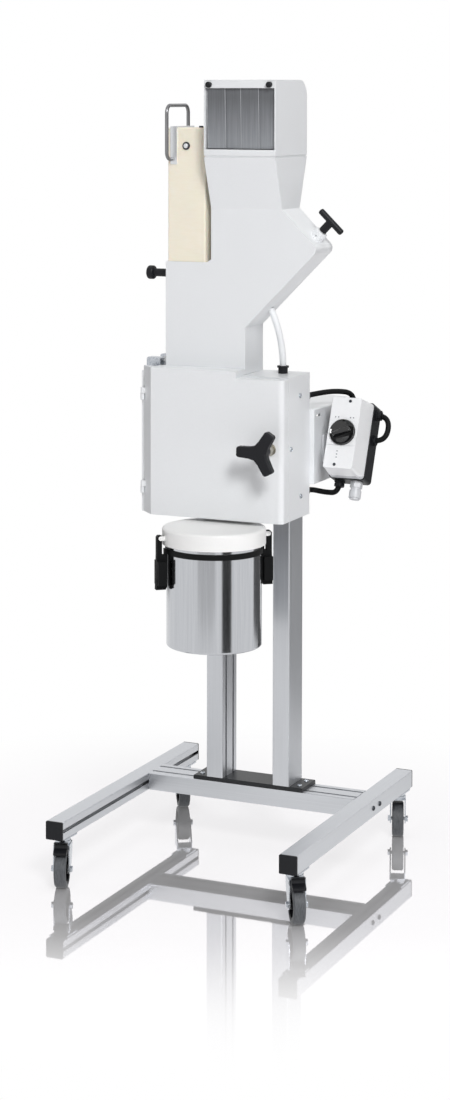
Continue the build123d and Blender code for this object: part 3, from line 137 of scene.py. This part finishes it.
# %% White powder coat
white_coat = grained("white_powder_coat", ("#EBEDEF", "#EDEFF1"), (3, 3, 3), (0.32, 0.36),
                     relief=0.003, edge=1.2, shader={"IOR": 1.5})
lid_white = grained("white_moulded_polypropylene", ("#F3F3F2", "#F5F5F4"), (4, 4, 4), (0.36, 0.42),
                    edge=2.0, shader={"IOR": 1.49})
print("finishes:", white_coat.name, lid_white.name)

# %% [markdown]
# The stand is extruded aluminium with a clear anodised skin. The die leaves straight lines along
# each bar, and the skin makes its shine satin. The lines are about 0.2 mm apart; they are drawn
# at 0.9 mm so that they show. Bars run along X, Y and Z, so the same finish is made three times.

# %% Anodised aluminium along each axis
def anodised(name, along):
    """Clear anodised aluminium whose die lines run along one axis."""
    grain = [0.9, 0.9, 0.9]
    grain[along] = 140
    return grained(name, ("#C5C7CB", "#CDCFD3"), grain, (0.40, 0.48), relief=0.003, edge=0.7,
                   shader={"Metallic": 1.0})


bar_x = anodised("anodised_aluminium_x", 0)
bar_y = anodised("anodised_aluminium_y", 1)
bar_z = anodised("anodised_aluminium_z", 2)
print("finishes:", bar_x.name, bar_y.name, bar_z.name)

# %% [markdown]
# Black parts come in several materials, and the eye tells them by their shine. Moulded polyamide
# is matt with a fine spark texture, powder coated steel is a little glossier, rubber is dull, and
# the rotary switch is polished thermoset plastic with a clear mirror of the studio.

# %% Black finishes
black_nylon = grained("black_moulded_nylon", ("#121316", "#1B1C20"), (0.8, 0.8, 0.8), (0.36, 0.48),
                      relief=0.02, edge=0.8, shader={"IOR": 1.53, "Specular IOR Level": 0.2})
black_coat = grained("black_powder_coat", ("#1C1D1F", "#232427"), (2.5, 2.5, 2.5), (0.34, 0.44),
                     relief=0.02, edge=0.8, shader={"IOR": 1.5, "Specular IOR Level": 0.3})
black_rubber = grained("black_rubber", ("#08090A", "#0F1011"), (1.2, 1.2, 1.2), (0.50, 0.62),
                       relief=0.02, edge=0.6, shader={"IOR": 1.52, "Specular IOR Level": 0.12})
black_gloss = grained("black_polished_thermoset", ("#08090A", "#0C0D0E"), (4, 4, 4), (0.05, 0.08),
                      edge=0.6, shader={"IOR": 1.55, "Specular IOR Level": 0.6})
print("finishes:", black_nylon.name, black_coat.name, black_rubber.name, black_gloss.name)

# %% [markdown]
# Fittings and casters are zinc plated and blued steel: bright, a little cloudy, slightly blue.
# The vessel, sieve, bail and push rod are stainless steel. The vessel's sheet has a satin finish
# that was drawn along its height, so its soft streaks are 3 mm wide and much longer. The screws
# in the rails' outer sides are blued, so they stay dark. The washer on the plunger's bracket gets
# the same dark steel as painted shade around the screw's head.

# %% Plated and stainless steel
zinc = grained("zinc_plated_steel", ("#A9AEB5", "#C4C8CE"), (5, 5, 5), (0.20, 0.32),
               relief=0.01, edge=0.4, shader={"Metallic": 1.0})
stainless_sheet = grained("satin_stainless_sheet", ("#BBBDC1", "#C3C5C9"), (3, 3, 160),
                          (0.11, 0.15), shader={"Metallic": 1.0})
stainless_bar = grained("drawn_stainless_bar", ("#7E7E80", "#868688"), (6, 6, 20),
                        (0.28, 0.32), shader={"Metallic": 1.0})
strip_steel = grained("rolled_steel_strip", ("#DADCDF", "#E2E4E7"), (4, 30, 4), (0.34, 0.40),
                      edge=0.3, shader={"Metallic": 1.0})
blued_steel_and_washer_shade = grained("blued_screw_steel_and_washer_shade", ("#3A3D42", "#4A4D52"), (3, 3, 3), (0.30, 0.40),
                      edge=0.3, shader={"Metallic": 1.0})
print("finishes:", zinc.name, stainless_sheet.name, stainless_bar.name, strip_steel.name)

# %% [markdown]
# Inside the housing are machined pieces. The block is grey cast iron milled on its faces, knives
# and rotor are ground tool steel, the spindle's collar is nickel plated, and the motor has a
# satin grey enamel. They show only when the door is open, but they get their own finish too.

# %% Machine finishes
cast_iron = grained("milled_cast_iron", ("#6E7073", "#83858A"), (2, 14, 2), (0.38, 0.52),
                    relief=0.02, edge=0.5, shader={"Metallic": 1.0})
tool_steel = grained("ground_tool_steel", ("#A3A4A6", "#B7B8BA"), (0.8, 22, 0.8), (0.22, 0.34),
                     edge=0.3, shader={"Metallic": 1.0})
brass = grained("nickel_plated_brass", ("#A9A59A", "#B8B4A9"), (0.7, 9, 0.7), (0.24, 0.34),
                edge=0.4, shader={"Metallic": 1.0})
motor_enamel = grained("grey_motor_enamel", ("#4A4F54", "#565B60"), (3, 3, 3), (0.34, 0.44),
                       relief=0.03, edge=0.6)
print("finishes:", cast_iron.name, tool_steel.name, brass.name, motor_enamel.name)

# %% [markdown]
# The plunger is milled from a block of natural polyethylene: cream, waxy and slightly
# translucent, with faint cutter lines across it. The control box is light grey ABS with a fine
# spark texture, and the gland under it is nylon of a darker grey.

# %% Pale plastics
cream_block = grained("natural_polyethylene", ("#F7EFDC", "#F9F2E1"), (22, 22, 4), (0.40, 0.46),
                      relief=0.003, edge=1.0, shader={"IOR": 1.51, "Subsurface Weight": 0.12,
                                                     "Subsurface Scale": 0.006})
grey_abs = grained("light_grey_abs", ("#EBECEE", "#F0F1F2"), (1.5, 1.5, 1.5), (0.36, 0.44),
                   relief=0.006, edge=1.2, shader={"IOR": 1.53})
gland_grey = grained("light_grey_nylon", ("#C6C8CB", "#CED0D3"), (1.5, 1.5, 1.5), (0.34, 0.42),
                     relief=0.01, edge=0.6, shader={"IOR": 1.53})
print("finishes:", cream_block.name, grey_abs.name, gland_grey.name)

# %% [markdown]
# Caster tyres are grey thermoplastic rubber. They roll on a matt band, and scuffs leave light
# streaks across it, so the noise lightens the tone in patches about 6 mm wide.

# %% Tyre rubber
tyre_rubber = grained("grey_tyre_rubber", ("#3C3E41", "#5A5D61"), (2, 6, 12), (0.48, 0.66),
                      relief=0.05, edge=0.8, detail=5.0, shader={"IOR": 1.5})
print("finish:", tyre_rubber.name)

# %% [markdown]
# A node is a set of loose triangles that already point the right way, so only its material
# changes. Some nodes hold two materials, such as the control box with its gland, or the bracket
# with its screw and washer. There each triangle picks its material by where its middle lies.

# %% Dress the nodes
RAIL_SIDE = 200
GLAND_TOP = 868
STRIP_RIGHT = -125
HEAD_BACK = -36
SCREW_AT = (-109.5, 1595)
HEAD_RADIUS = 6


def dress(names, *finishes, pick=None):
    """Gives nodes their materials; pick turns a triangle's middle in mm into a slot number."""
    for name in names.split():
        mesh = nodes[name].data
        mesh.materials.clear()
        for finish in finishes:
            mesh.materials.append(finish)
        for face in mesh.polygons:
            face.material_index = pick(face.center / MM) if pick else 0


def is_shaded_washer(at):
    """Tells the bracket's washer, painted dark as shade around the screw's head, from the strip
    and from the screw's head in front of it.
    """
    from_screw = (at.x - SCREW_AT[0]) ** 2 + (at.z - SCREW_AT[1]) ** 2
    return int(at.x > STRIP_RIGHT and at.y > HEAD_BACK and from_screw > HEAD_RADIUS ** 2)


dress("left_rail right_rail", bar_y)
dress("crossbeam", bar_x)
dress("left_post right_post", bar_z)
dress("rail_end_caps control_base star_grip tee_handle index_knob interlock_socket", black_nylon)
dress("front_left_brake front_right_brake lead_glands hood_knobs", black_nylon)
dress("post_plate post_head_plate", black_coat)
dress("mill_housing drive_cover control_bracket door door_hinge_pins", white_coat)
dress("outlet_lid", lid_white)
dress("feed_chute feed_hood chute_bosses interlock_rod", white_coat)
dress("caster_plates hopper_hinge grip_spindle", zinc)
dress("cap_screws", zinc, blued_steel_and_washer_shade, pick=lambda at: int(abs(at.x) > RAIL_SIDE))
dress("front_left_fork front_right_fork rear_left_fork rear_right_fork", zinc)
dress("collector_vessel bottom_sieve", stainless_sheet)
dress("plunger_handle pusher_rod", stainless_bar)
dress("rotor rotor_shaft shaft_bearings fixed_knives", tool_steel)
dress("chamber_block", cast_iron)
dress("motor", motor_enamel)
dress("grip_collar", brass)
dress("plunger", cream_block)
dress("control_cover", grey_abs, gland_grey, pick=lambda at: int(at.z < GLAND_TOP))
dress("clamp_band control_leads front_latch rear_latch", black_rubber)
dress("switch_knob", black_gloss)
dress("curtain_strips", black_rubber)
dress("plunger_bracket", strip_steel, blued_steel_and_washer_shade, pick=is_shaded_washer)
print("dressed:", sum(1 for o in nodes.values() if o.data.materials))

# %% [markdown]
# Each wheel turns on a level axle, so a triangle's distance from that axle says whether it is
# tyre or hub. The wheel's box gives the axle's place: its middle, 40 mm above the floor.

# %% Wheels in two materials
HUB_RADIUS = 31.2


def dress_wheel(name):
    """Tyre rubber outside the hub's radius, black nylon inside it."""
    low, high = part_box(name)
    middle = (low + high) / 2 / MM
    joint = next(j for j in frame["joints"] if j["child"] == name)
    axle = Vector(joint["axis"])

    def is_hub(point):
        arm = point - middle
        return int((arm - axle * arm.dot(axle)).length < HUB_RADIUS)

    dress(name, tyre_rubber, black_nylon, pick=is_hub)


for corner in ("front_left", "front_right", "rear_left", "rear_right"):
    dress_wheel(corner + "_wheel")
print("wheels dressed")

# %% [markdown]
# The control box leans back by 23 degrees. Its small pieces are easier to model flat, on the
# XY plane, and then moved onto the leaning face by one matrix whose columns are the face's
# directions. Applying the transform leaves each object at the origin with its place in its mesh.

# %% A frame on the control box's face
LEAN = radians(23)
face_x = Vector((1, 0, 0))
face_y = Vector((0, sin(LEAN), cos(LEAN)))
face_z = Vector((0, -cos(LEAN), sin(LEAN)))
face_origin = Vector((0.222, 0.0747, 0.9651))
on_face = Matrix((face_x, face_y, face_z)).transposed().to_4x4()
on_face.translation = face_origin


def deselect():
    """Leaves edit mode and selects nothing."""
    if bpy.context.mode != "OBJECT":
        bpy.ops.object.mode_set(mode="OBJECT")
    bpy.ops.object.select_all(action="DESELECT")


def settle(piece, name, finish, place=None):
    """Names a new piece, gives it its finish, and puts its place into its mesh."""
    deselect()
    piece.select_set(True)
    bpy.context.view_layer.objects.active = piece
    if place is not None:
        piece.matrix_world = place @ piece.matrix_world
    bpy.ops.object.transform_apply(location=True, rotation=True, scale=True)
    piece.name = name
    piece.data.name = name
    if finish is not None:
        piece.data.materials.clear()
        piece.data.materials.append(finish)
    return piece


print("face normal:", [round(v, 3) for v in face_z])

# %% [markdown]
# Blocks and rounded edges come up several times, so each gets a small function. The bevel only
# takes edges sharper than 30 degrees, and the shading stays crisp at the edges that are left.

# %% Blocks and rounded edges
SHARP = radians(30)


def add_block(size, at, turn=0.0):
    """A block with its size and middle in mm, turned about Z by degrees."""
    deselect()
    bpy.ops.mesh.primitive_cube_add(size=1, location=[c * MM for c in at],
                                    rotation=(0, 0, radians(turn)))
    block = bpy.context.object
    block.scale = [s * MM for s in size]
    bpy.ops.object.transform_apply(location=False, rotation=False, scale=True)
    return block


def round_edges(piece, radius, segments):
    """Rounds a piece's sharp edges to a radius in mm."""
    rounding = piece.modifiers.new("round", "BEVEL")
    rounding.width = radius * MM
    rounding.segments = segments
    rounding.limit_method = "ANGLE"
    rounding.angle_limit = SHARP
    bpy.ops.object.modifier_apply(modifier="round")


print("edges sharper than", round(SHARP, 3), "rad get rounded")

# %% [markdown]
# The rotary switch is a polished round dial with a sunk face and a raised diagonal grip. It is
# a cylinder whose front is inset and pushed back, which leaves a rim, and a block with a
# narrower top and rounded edges for the grip. Both are joined, because they turn as one.

# %% Rotary switch
def pick_faces(mesh, test):
    """Selects the faces of a mesh whose normal and middle pass a test."""
    for edge in mesh.edges:
        edge.select = False
    for vert in mesh.vertices:
        vert.select = False
    for face in mesh.polygons:
        face.select = test(face.normal, face.center)


def edit_faces(piece, test):
    """Goes into edit mode in face select with only the faces that pass a test selected."""
    bpy.ops.object.mode_set(mode="EDIT")
    bpy.ops.mesh.select_mode(type="FACE")
    bpy.ops.mesh.select_all(action="DESELECT")
    bpy.ops.object.mode_set(mode="OBJECT")
    pick_faces(piece.data, test)
    bpy.ops.object.mode_set(mode="EDIT")


DIAL_Y = 1
DIAL_RADIUS = 28.5
deselect()
bpy.ops.mesh.primitive_cylinder_add(vertices=96, radius=DIAL_RADIUS * MM, depth=10 * MM,
                                    location=(0, DIAL_Y * MM, 1 * MM))
dial = bpy.context.object
edit_faces(dial, lambda normal, middle: normal.z > 0.9)
bpy.ops.mesh.inset(thickness=3.2 * MM)
bpy.ops.transform.translate(value=(0, 0, -2 * MM))
bpy.ops.mesh.inset(thickness=6 * MM)
bpy.ops.transform.translate(value=(0, 0, -1.5 * MM))
bpy.ops.object.mode_set(mode="OBJECT")
round_edges(dial, 1.2, 4)
bpy.ops.object.shade_smooth_by_angle(angle=radians(35))
print("dial faces:", len(dial.data.polygons))

# %% Grip of the switch
grip = add_block((50, 17, 20), (0, DIAL_Y, 7), turn=25)
edit_faces(grip, lambda normal, middle: normal.z > 0.9)
bpy.ops.transform.resize(value=(0.86, 0.55, 1), center_override=(0, DIAL_Y * MM, 17 * MM))
bpy.ops.object.mode_set(mode="OBJECT")
round_edges(grip, 3.2, 5)
bpy.ops.object.shade_smooth_by_angle(angle=radians(35))
deselect()
grip.select_set(True)
dial.select_set(True)
bpy.context.view_layer.objects.active = dial
bpy.ops.object.join()
dial = settle(dial, "switch_dial", black_gloss, on_face)
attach(dial, "switch_knob")
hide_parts("switch_knob")
print("switch:", dial.name, len(dial.data.polygons), "faces")

# %% [markdown]
# The box's front carries small plain marks: four above the dial for its positions, and three
# lamps in a row below the seam. Each is a shallow disc let into the face. Each disc is modelled
# in its place, with its middle sunk a little, and the discs are joined into one mesh.

# %% Marks on the control box
MARK_RADIUS = 1.5
marks_at = [(-21, 35), (-14, 35), (14, 35), (21, 35), (-6, -42), (-6, -49), (-6, -56)]
marks = []
for x, y in marks_at:
    deselect()
    bpy.ops.mesh.primitive_cylinder_add(vertices=20, radius=MARK_RADIUS * MM, depth=0.8 * MM,
                                        location=(x * MM, y * MM, 0.1 * MM))
    mark = bpy.context.object
    edit_faces(mark, lambda normal, middle: normal.z > 0.9)
    bpy.ops.mesh.inset(thickness=0.4 * MM)
    bpy.ops.transform.translate(value=(0, 0, -0.15 * MM))
    bpy.ops.object.mode_set(mode="OBJECT")
    marks.append(mark)
deselect()
for mark in marks:
    mark.select_set(True)
bpy.context.view_layer.objects.active = marks[0]
bpy.ops.object.join()
lamp_grey = grained("smoked_lens_plastic", ("#8B8E93", "#9A9DA2"), (2, 2, 2), (0.20, 0.30),
                    shader={"IOR": 1.49})
cover_marks = settle(marks[0], "control_marks", lamp_grey, on_face)
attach(cover_marks, "root")
print("marks:", len(marks_at))

# %% [markdown]
# The hood's mouth is closed by a strip curtain: four soft PVC strips under a clamping bar. Soft
# PVC hangs almost flat and curls a little at its free edges. Each strip starts as a grid, its
# points are moved into a shallow curl that grows downwards, and Solidify gives it its thickness.
# Neighbours hang one behind the other, so their edges overlap, and some lean a little.
# The film was drawn through a die, which leaves fine streaks along it. A paler band along each
# strip's edges is a painted highlight, where the edges catch the light.

# %% Soft PVC
pvc = grained("soft_smoked_pvc", ("#8E9196", "#A0A3A8"), (2.2, 2.2, 90), (0.30, 0.40), relief=0.02,
              shader={"IOR": 1.53, "Transmission Weight": 0.08})
tree = pvc.node_tree
# The film's tone falls from full at 1591 mm to 0.42 at 1700 mm: painted shade under the hood's
# lip.
height = add_node(tree, "SeparateXYZ", links={0: add_node(tree, "TexCoord").outputs["Object"]})
shade_under_lip = add_node(tree, "MapRange", links={"Value": height.outputs["Z"]},
                values={"From Min": 1.591, "From Max": 1.700, "To Min": 1.0, "To Max": 0.42})
film = tree.nodes["Principled BSDF"].inputs["Base Color"]
shaded_film = add_node(tree, "VectorMath", settings={"operation": "SCALE"},
                  links={0: film.links[0].from_socket, "Scale": shade_under_lip.outputs["Result"]})
tree.links.new(shaded_film.outputs["Vector"], film)
pvc_edge_highlight = grained("painted_edge_highlight_of_pvc", ("#A9ABAF", "#B9BBBF"), (1.5, 1.5, 30), (0.20, 0.28),
                   shader={"IOR": 1.53})
print("finishes:", pvc.name, pvc_edge_highlight.name)

# %% Strips of the curtain
STRIP_WIDE = 43.5
STRIP_LONG = 142.0
STRIP_TOP = 1733.0
STRIP_FRONT = -63.2
STAGGER = 2.6
FILM_THICK = 1.0
EDGE_HIGHLIGHT_WIDE = 1.1
COLUMNS = 14
strip_left = [-44.0, -4.5, 35.5, 73.5]
strip_lean = [3.0, 4.5, 2.0, 0.0]


def model_strip(index):
    """One hanging strip, curled a little more towards its lower end."""
    deselect()
    bpy.ops.mesh.primitive_grid_add(x_subdivisions=COLUMNS, y_subdivisions=24, size=1)
    strip = bpy.context.object
    front = STRIP_FRONT + (index % 2) * STAGGER
    for point in strip.data.vertices:
        across, down = point.co.x, 0.5 - point.co.y
        if 0.5 - 1.5 / COLUMNS < abs(across) < 0.49:
            across = (0.5 - EDGE_HIGHLIGHT_WIDE / STRIP_WIDE) * (1 if across > 0 else -1)
        curl = (1 if index % 2 else -1) * 1.1 * down * (4 * across * across - 0.35)
        ripple = 0.5 * down * sin(5 * across + 2.1 * index)
        point.co = Vector((
            (strip_left[index] + (across + 0.5) * STRIP_WIDE + down * strip_lean[index]) * MM,
            (front + curl + ripple) * MM,
            (STRIP_TOP - down * STRIP_LONG) * MM,
        ))
    thick = strip.modifiers.new("film", "SOLIDIFY")
    thick.thickness = FILM_THICK * MM
    bpy.ops.object.modifier_apply(modifier="film")
    bpy.ops.object.shade_smooth_by_angle(angle=radians(40))
    settle(strip, "curtain_strip_" + str(index + 1), pvc)
    strip.data.materials.append(pvc_edge_highlight)
    # Faces near a strip's sides get the painted edge highlight.
    for face in strip.data.polygons:
        down = (STRIP_TOP * MM - face.center.z) / (STRIP_LONG * MM)
        middle = (strip_left[index] + STRIP_WIDE / 2 + down * strip_lean[index]) * MM
        from_middle = abs(face.center.x - middle)
        face.material_index = int(from_middle > (STRIP_WIDE / 2 - EDGE_HIGHLIGHT_WIDE) * MM)
    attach(strip, "hopper")
    return strip


strips = [model_strip(index) for index in range(4)]
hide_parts("curtain_strips")
print("strips:", [s.name for s in strips])

# %% Clamping bar of the curtain
bar = add_block((161, 3.4, 13), (36.5, -59.3, 1730))
round_edges(bar, 1.0, 3)
bar = settle(bar, "curtain_bar", stainless_bar)
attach(bar, "hopper")
print("bar ready")

# %% [markdown]
# Three short leads join the control box to the mill. Each is one smooth curve between two
# glands: out of the first gland, over to the box and into the second. The points are the route's
# own control points, and a NURBS spline of order 3 runs smoothly between them.

# %% Leads of the control box
LEAD_DIAMETER = 12 * MM
routes = {
    "lead_high": [(130, 78, 1040), (130, 110, 1040), (172, 150, 1047), (204, 198.1, 1038.2),
                  (204, 188.3, 1015.2)],
    "lead_loop": [(266, 178.7, 992.6), (295, 178.7, 992.6), (295, 156.1, 939.3),
                  (266, 156.1, 939.3)],
    "lead_low": [(130, 78, 829), (130, 110, 829), (168, 114, 823), (200, 107.8, 825.6),
                 (200, 117.6, 848.6)],
}


def run_lead(name, points):
    """A round rubber lead along a smooth spline; gives the curve and its length."""
    curve = bpy.data.curves.new(name, "CURVE")
    curve.dimensions = "3D"
    spline = curve.splines.new("NURBS")
    spline.points.add(len(points) - 1)
    for point, at in zip(spline.points, points):
        point.co = (at[0] * MM, at[1] * MM, at[2] * MM, 1)
    spline.order_u = 3
    spline.use_endpoint_u = True
    spline.resolution_u = 16
    piece = bpy.data.objects.new(name, curve)
    bpy.context.scene.collection.objects.link(piece)
    bpy.context.view_layer.update()
    graph = bpy.context.evaluated_depsgraph_get()
    line = bpy.data.meshes.new_from_object(piece.evaluated_get(graph))
    points_on = [v.co for v in line.vertices]
    length = sum((b - a).length for a, b in zip(points_on, points_on[1:]))
    bpy.data.meshes.remove(line)
    curve.bevel_depth = LEAD_DIAMETER / 2
    curve.bevel_resolution = 6
    curve.use_fill_caps = True
    curve.materials.append(black_rubber)
    return piece, length


for name, points in routes.items():
    lead, length = run_lead(name, points)
    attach(lead, "root")
    if name == "lead_high":
        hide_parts("control_leads")
    print(name, round(length / MM), "mm")

# %% [markdown]
# The studio is a pale floor that runs into white, with soft light from large lamps. The floor
# near the stand is polished, so it keeps the shadow and a mirror image that fades towards the
# camera, as in the photograph. Further out the camera sees plain white, which is colour and not
# more light. Metal sees that white too. The floor's mirror shows undersides, and those see the
# floor below them, which is dark there. Such a ray has bounced twice, so the floor tests that.

# %% Floor
FLOOR_FILL = 0.28
SECOND_BOUNCE = 1.5
deselect()
bpy.ops.mesh.primitive_plane_add(size=60, location=(0, 0, 0))
floor = bpy.context.object
floor.name = "studio_floor"
ground = bpy.data.materials.new("studio_floor_satin")
ground.use_nodes = True
tree = ground.node_tree
skin = tree.nodes["Principled BSDF"]
skin.inputs["Base Color"].default_value = linear("#F8F6F8")
skin.inputs["Roughness"].default_value = 0.03
place = add_node(tree, "TexCoord").outputs["Object"]
forward = add_node(tree, "VectorMath", settings={"operation": "DOT_PRODUCT"},
                   values={1: (0.40, -0.91, 0.0)}, links={0: place})
mirror = add_node(tree, "MapRange", settings={"interpolation_type": "SMOOTHSTEP"},
                  values={"From Min": 0.3, "From Max": 1.2, "To Min": 0.66, "To Max": 0.0},
                  links={"Value": forward.outputs["Value"]})
tree.links.new(mirror.outputs["Result"], skin.inputs["Metallic"])
path = add_node(tree, "LightPath")
matt = add_node(tree, "Math", settings={"operation": "SUBTRACT"},
                values={0: 1.0}, links={1: mirror.outputs["Result"]})
filled = add_node(tree, "Math", settings={"operation": "MULTIPLY"},
                  links={0: matt.outputs[0], 1: path.outputs["Is Camera Ray"]})
skin.inputs["Emission Color"].default_value = (FLOOR_FILL, FLOOR_FILL, FLOOR_FILL, 1)
tree.links.new(filled.outputs[0], skin.inputs["Emission Strength"])
reach = add_node(tree, "VectorMath", settings={"operation": "LENGTH"}, links={0: place})
fade = add_node(tree, "MapRange", settings={"interpolation_type": "SMOOTHSTEP"},
                values={"From Min": 0.45, "From Max": 1.25, "To Min": 0.0, "To Max": 1.0},
                links={"Value": reach.outputs["Value"]})
# Near the stand the floor's glow for twice-bounced rays drops to 0.06: painted shade under the
# stand, seen in the mirrored undersides.
under = add_node(tree, "MapRange", settings={"interpolation_type": "SMOOTHSTEP"},
                 values={"From Min": 0.85, "From Max": 1.1, "To Min": 0.06, "To Max": 1.0},
                 links={"Value": reach.outputs["Value"]})
seen = add_node(tree, "Math", settings={"operation": "MULTIPLY"},
                links={0: path.outputs["Is Camera Ray"], 1: fade.outputs["Result"]})
mirrored = add_node(tree, "Math", settings={"operation": "MAXIMUM"},
                    links={0: path.outputs["Is Glossy Ray"],
                           1: path.outputs["Is Transmission Ray"]})
share = add_node(tree, "Math", settings={"operation": "MAXIMUM"},
                 links={0: seen.outputs[0], 1: mirrored.outputs[0]})
direct = add_node(tree, "Math", settings={"operation": "LESS_THAN"},
                  values={1: SECOND_BOUNCE}, links={0: path.outputs["Ray Depth"]})
level = add_node(tree, "Math", settings={"operation": "MAXIMUM"},
                 links={0: direct.outputs[0], 1: under.outputs["Result"]})
glow = add_node(tree, "Emission", values={"Color": (1, 1, 1, 1)},
                links={"Strength": level.outputs[0]})
mixed = add_node(tree, "MixShader", links={0: share.outputs[0], 1: skin.outputs["BSDF"],
                                           2: glow.outputs["Emission"]})
tree.links.new(mixed.outputs[0], tree.nodes["Material Output"].inputs["Surface"])
floor.data.materials.append(ground)
print("floor ready")

# %% [markdown]
# The world lights matt surfaces with a little soft light. The camera and mirror-like surfaces see
# it as plain white, which is the background's colour.

# %% World
world = bpy.data.worlds.new("studio_world")
bpy.context.scene.world = world
world.use_nodes = True
tree = world.node_tree
soft = tree.nodes["Background"]
soft.inputs["Color"].default_value = (1, 1, 1, 1)
soft.inputs["Strength"].default_value = 0.08
bright = add_node(tree, "Background", values={"Color": (1, 1, 1, 1), "Strength": 1.0})
path = add_node(tree, "LightPath")
seen = add_node(tree, "Math", settings={"operation": "MAXIMUM"},
                links={0: path.outputs["Is Camera Ray"], 1: path.outputs["Is Glossy Ray"]})
seen = add_node(tree, "Math", settings={"operation": "MAXIMUM"},
                links={0: seen.outputs[0], 1: path.outputs["Is Transmission Ray"]})
mixed = add_node(tree, "MixShader", links={0: seen.outputs[0], 1: soft.outputs[0],
                                           2: bright.outputs[0]})
tree.links.new(mixed.outputs[0], tree.nodes["World Output"].inputs["Surface"])
print("world ready")

# %% [markdown]
# Metal looks like what it reflects, and a studio has dark corners as well as bright walls. Grey
# cards stand and lie around the object, seen by reflections only, and give the posts and the
# vessel their darker sides. A ray that comes up from the floor's mirror sees a card as white. The
# key lamp is high at the right, which throws the star grip's shadow to the lower left. The four
# fill lamps light matt surfaces only, so no metal shows them.

# %% Cards and lamps
def place_card(name, at, size, turn, strength, tilt=90):
    """A grey card that only reflections see, and that is white where the floor reflects it."""
    deselect()
    bpy.ops.mesh.primitive_plane_add(size=1, location=at,
                                     rotation=(radians(tilt), 0, radians(turn)))
    card = bpy.context.object
    card.name = name
    card.scale = (size[0], size[1], 1)
    grey = bpy.data.materials.new(name)
    grey.use_nodes = True
    grey_tree = grey.node_tree
    rays = add_node(grey_tree, "NewGeometry").outputs["Incoming"]
    slope = add_node(grey_tree, "SeparateXYZ", links={0: rays})
    from_floor = add_node(grey_tree, "Math", settings={"operation": "LESS_THAN"},
                          values={1: 0.0}, links={0: slope.outputs["Z"]})
    level = add_node(grey_tree, "MapRange", values={"To Min": strength, "To Max": 1.0},
                     links={"Value": from_floor.outputs[0]})
    shade = add_node(grey_tree, "Emission", values={"Color": (1, 1, 1, 1)},
                     links={"Strength": level.outputs["Result"]})
    grey_tree.links.new(shade.outputs[0], grey_tree.nodes["Material Output"].inputs["Surface"])
    card.data.materials.append(grey)
    for ray in ("camera", "diffuse", "transmission", "volume_scatter", "shadow"):
        setattr(card, "visible_" + ray, False)


place_card("dark_card_right", (1.15, 1.95, 1.3), (1.6, 2.6), -24, 0.12)
place_card("dark_card_floor", (0.56, 1.79, 0.01), (0.92, 1.35), 23.7, 0.12, tilt=0)
place_card("dark_card_left", (-2.6, 1.6, 1.0), (2.2, 3.6), 58, 0.14)
place_card("dark_card_front", (1.46, -1.18, 0.3), (0.72, 0.6), 54, 0.05)
place_card("grey_card_front", (0.27, -2.7, 0.35), (2.0, 0.7), 6, 0.70)


AIM = Vector((0, 0, 0.9))


def place_lamp(name, at, size, power):
    """A square soft box aimed at the housing."""
    light = bpy.data.lights.new(name, "AREA")
    light.shape = "SQUARE"
    light.size = size
    light.energy = power
    lamp = bpy.data.objects.new(name, light)
    bpy.context.scene.collection.objects.link(lamp)
    lamp.location = at
    lamp.rotation_euler = (AIM - Vector(at)).to_track_quat("-Z", "Y").to_euler()
    return lamp


place_lamp("key_lamp", (3.2, -4.2, 4.5), 1.6, 250)
fills = [
    ("front_lamp", (-0.1, -1.7, 0.5), 0.8, 2),
    ("side_lamp", (1.5, -0.4, 0.5), 0.8, 3),
    ("left_lamp", (-2.4, -0.6, 0.9), 1.4, 7),
    ("top_lamp", (0.1, 0.1, 3.9), 1.6, 30),
]
for fill in fills:
    place_lamp(*fill).visible_glossy = False
print("lamps ready")

# %% [markdown]
# The camera stands where the photograph's stood: 1.72 m above the floor, to the right of the
# front. Shifting the picture instead of tilting the camera keeps the posts upright. A tilt of 3
# degrees leans them too little to see, and it leaves less for the shift to do.

# %% Camera
camera_data = bpy.data.cameras.new("photo_camera")
camera = bpy.data.objects.new("photo_camera", camera_data)
bpy.context.scene.collection.objects.link(camera)
camera.location = (2.1421, -4.9248, 1.7188)
camera.rotation_euler = (radians(86.8), 0, radians(25.25))
camera_data.sensor_width = 36
camera_data.lens = 79.93
camera_data.shift_x = 0.0569
camera_data.shift_y = -0.2944
camera_data.clip_end = 60
bpy.context.scene.camera = camera
bpy.context.scene.view_settings.view_transform = "Standard"
print("camera ready")
